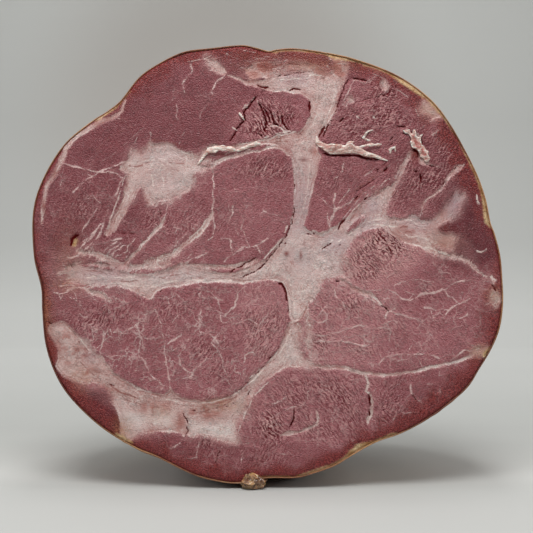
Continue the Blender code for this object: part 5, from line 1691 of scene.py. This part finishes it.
def paper_material():
    """Pale paper with painted light and shade: its grey changes along the floor and up the wall."""
    material, tree, shader = new_material("paper_with_painted_shade")
    at = place(tree)
    spot = parts_of(tree, at)
    first, last = PAPER_GREYS_AND_PAINTED_SHADE[0][0], PAPER_GREYS_AND_PAINTED_SHADE[-1][0]
    way = plus(tree, -first / (last - first), maths(tree, "ADD", spot["Y"], spot["Z"]),
               1.0 / (last - first))
    # The ramp paints the object's shadow on the floor and the light's falloff up the wall.
    paper = ramp(tree, way, [
        ((step - first) / (last - first), (grey, grey + 1, grey - 2)) for step, grey in PAPER_GREYS_AND_PAINTED_SHADE])
    # A painted shadow on the wall above the object.
    away = vector_maths(tree, "DISTANCE", at, PAPER_SHADE, "Value")
    paper = blend(tree, stretch(tree, away, 410.0, 150.0), paper, srgb(188, 184, 179))
    tree.links.new(paper, shader.inputs["Base Color"])
    shader.inputs["Roughness"].default_value = 0.85
    return material


def backdrop():
    """A pale floor that curves up into a plain wall behind."""
    profile = [(PAPER_FRONT, 0.0), (BEND_START, 0.0)]
    for step in range(1, BEND_STEPS + 1):
        turn = math.radians(90.0 * step / BEND_STEPS)
        profile.append((BEND_START + BEND * math.sin(turn), BEND * (1.0 - math.cos(turn))))
    profile.append((BEND_START + BEND, WALL_TOP))
    points = [(across, y, z) for across in (-PAPER_HALF_WIDTH, PAPER_HALF_WIDTH) for y, z in profile]
    count = len(profile)
    faces = [(index, index + count, index + count + 1, index + 1) for index in range(count - 1)]
    mesh = bpy.data.meshes.new("backdrop")
    mesh.from_pydata(points, [], faces)
    mesh.shade_smooth()
    mesh.materials.append(paper_material())
    obj = bpy.data.objects.new("backdrop", mesh)
    bpy.context.scene.collection.objects.link(obj)


def area_light(name, at, target, size, power):
    """A soft square lamp aimed at a point."""
    data = bpy.data.lights.new(name, "AREA")
    data.shape = "SQUARE"
    data.size = size
    data.energy = power
    lamp = bpy.data.objects.new(name, data)
    lamp.location = at
    lamp.rotation_euler = (Vector(target) - Vector(at)).to_track_quat("-Z", "Y").to_euler()
    bpy.context.scene.collection.objects.link(lamp)


def light_scene():
    """Soft lamps above, in front and at both sides, in a faint grey room."""
    for lamp in LAMPS:
        area_light(*lamp)
    world = bpy.data.worlds.new("room")
    world.use_nodes = True
    world.node_tree.nodes["Background"].inputs["Color"].default_value = ROOM_COLOUR
    world.node_tree.nodes["Background"].inputs["Strength"].default_value = ROOM_STRENGTH
    bpy.context.scene.world = world
    bpy.context.scene.view_settings.view_transform = "Standard"


def camera():
    """A level lens at the height of the picture's middle: 0.45 mm of the cut face to a pixel."""
    middle = IMAGE_SIDE / 2.0
    across = (middle - FACE_MIDDLE_PIXEL) * PIXEL_MM + FACE_X
    height = (FLOOR_PIXEL - middle) * PIXEL_MM
    data = bpy.data.cameras.new("camera")
    data.sensor_width = SENSOR_WIDTH
    data.lens = SENSOR_WIDTH * CAMERA_DISTANCE / (IMAGE_SIDE * PIXEL_MM)
    data.clip_start = CLIP_START
    obj = bpy.data.objects.new("camera", data)
    obj.location = Vector((across, FACE_Y - CAMERA_DISTANCE, height)) * MM
    obj.rotation_euler = (math.radians(90.0), 0.0, 0.0)
    bpy.context.scene.collection.objects.link(obj)
    bpy.context.scene.camera = obj


def dress():
    """Make every piece of the scene."""
    camera()
    light_scene()
    backdrop()
    cut_face(meat_material())
    casing(casing_material())
    tendon = tendon_material()
    for name, outline, anchors, thickness, pink in SHEETS:
        torn_sheet(name, outline, anchors, thickness, pink, tendon)
    jelly_nub(jelly_material())


dress()
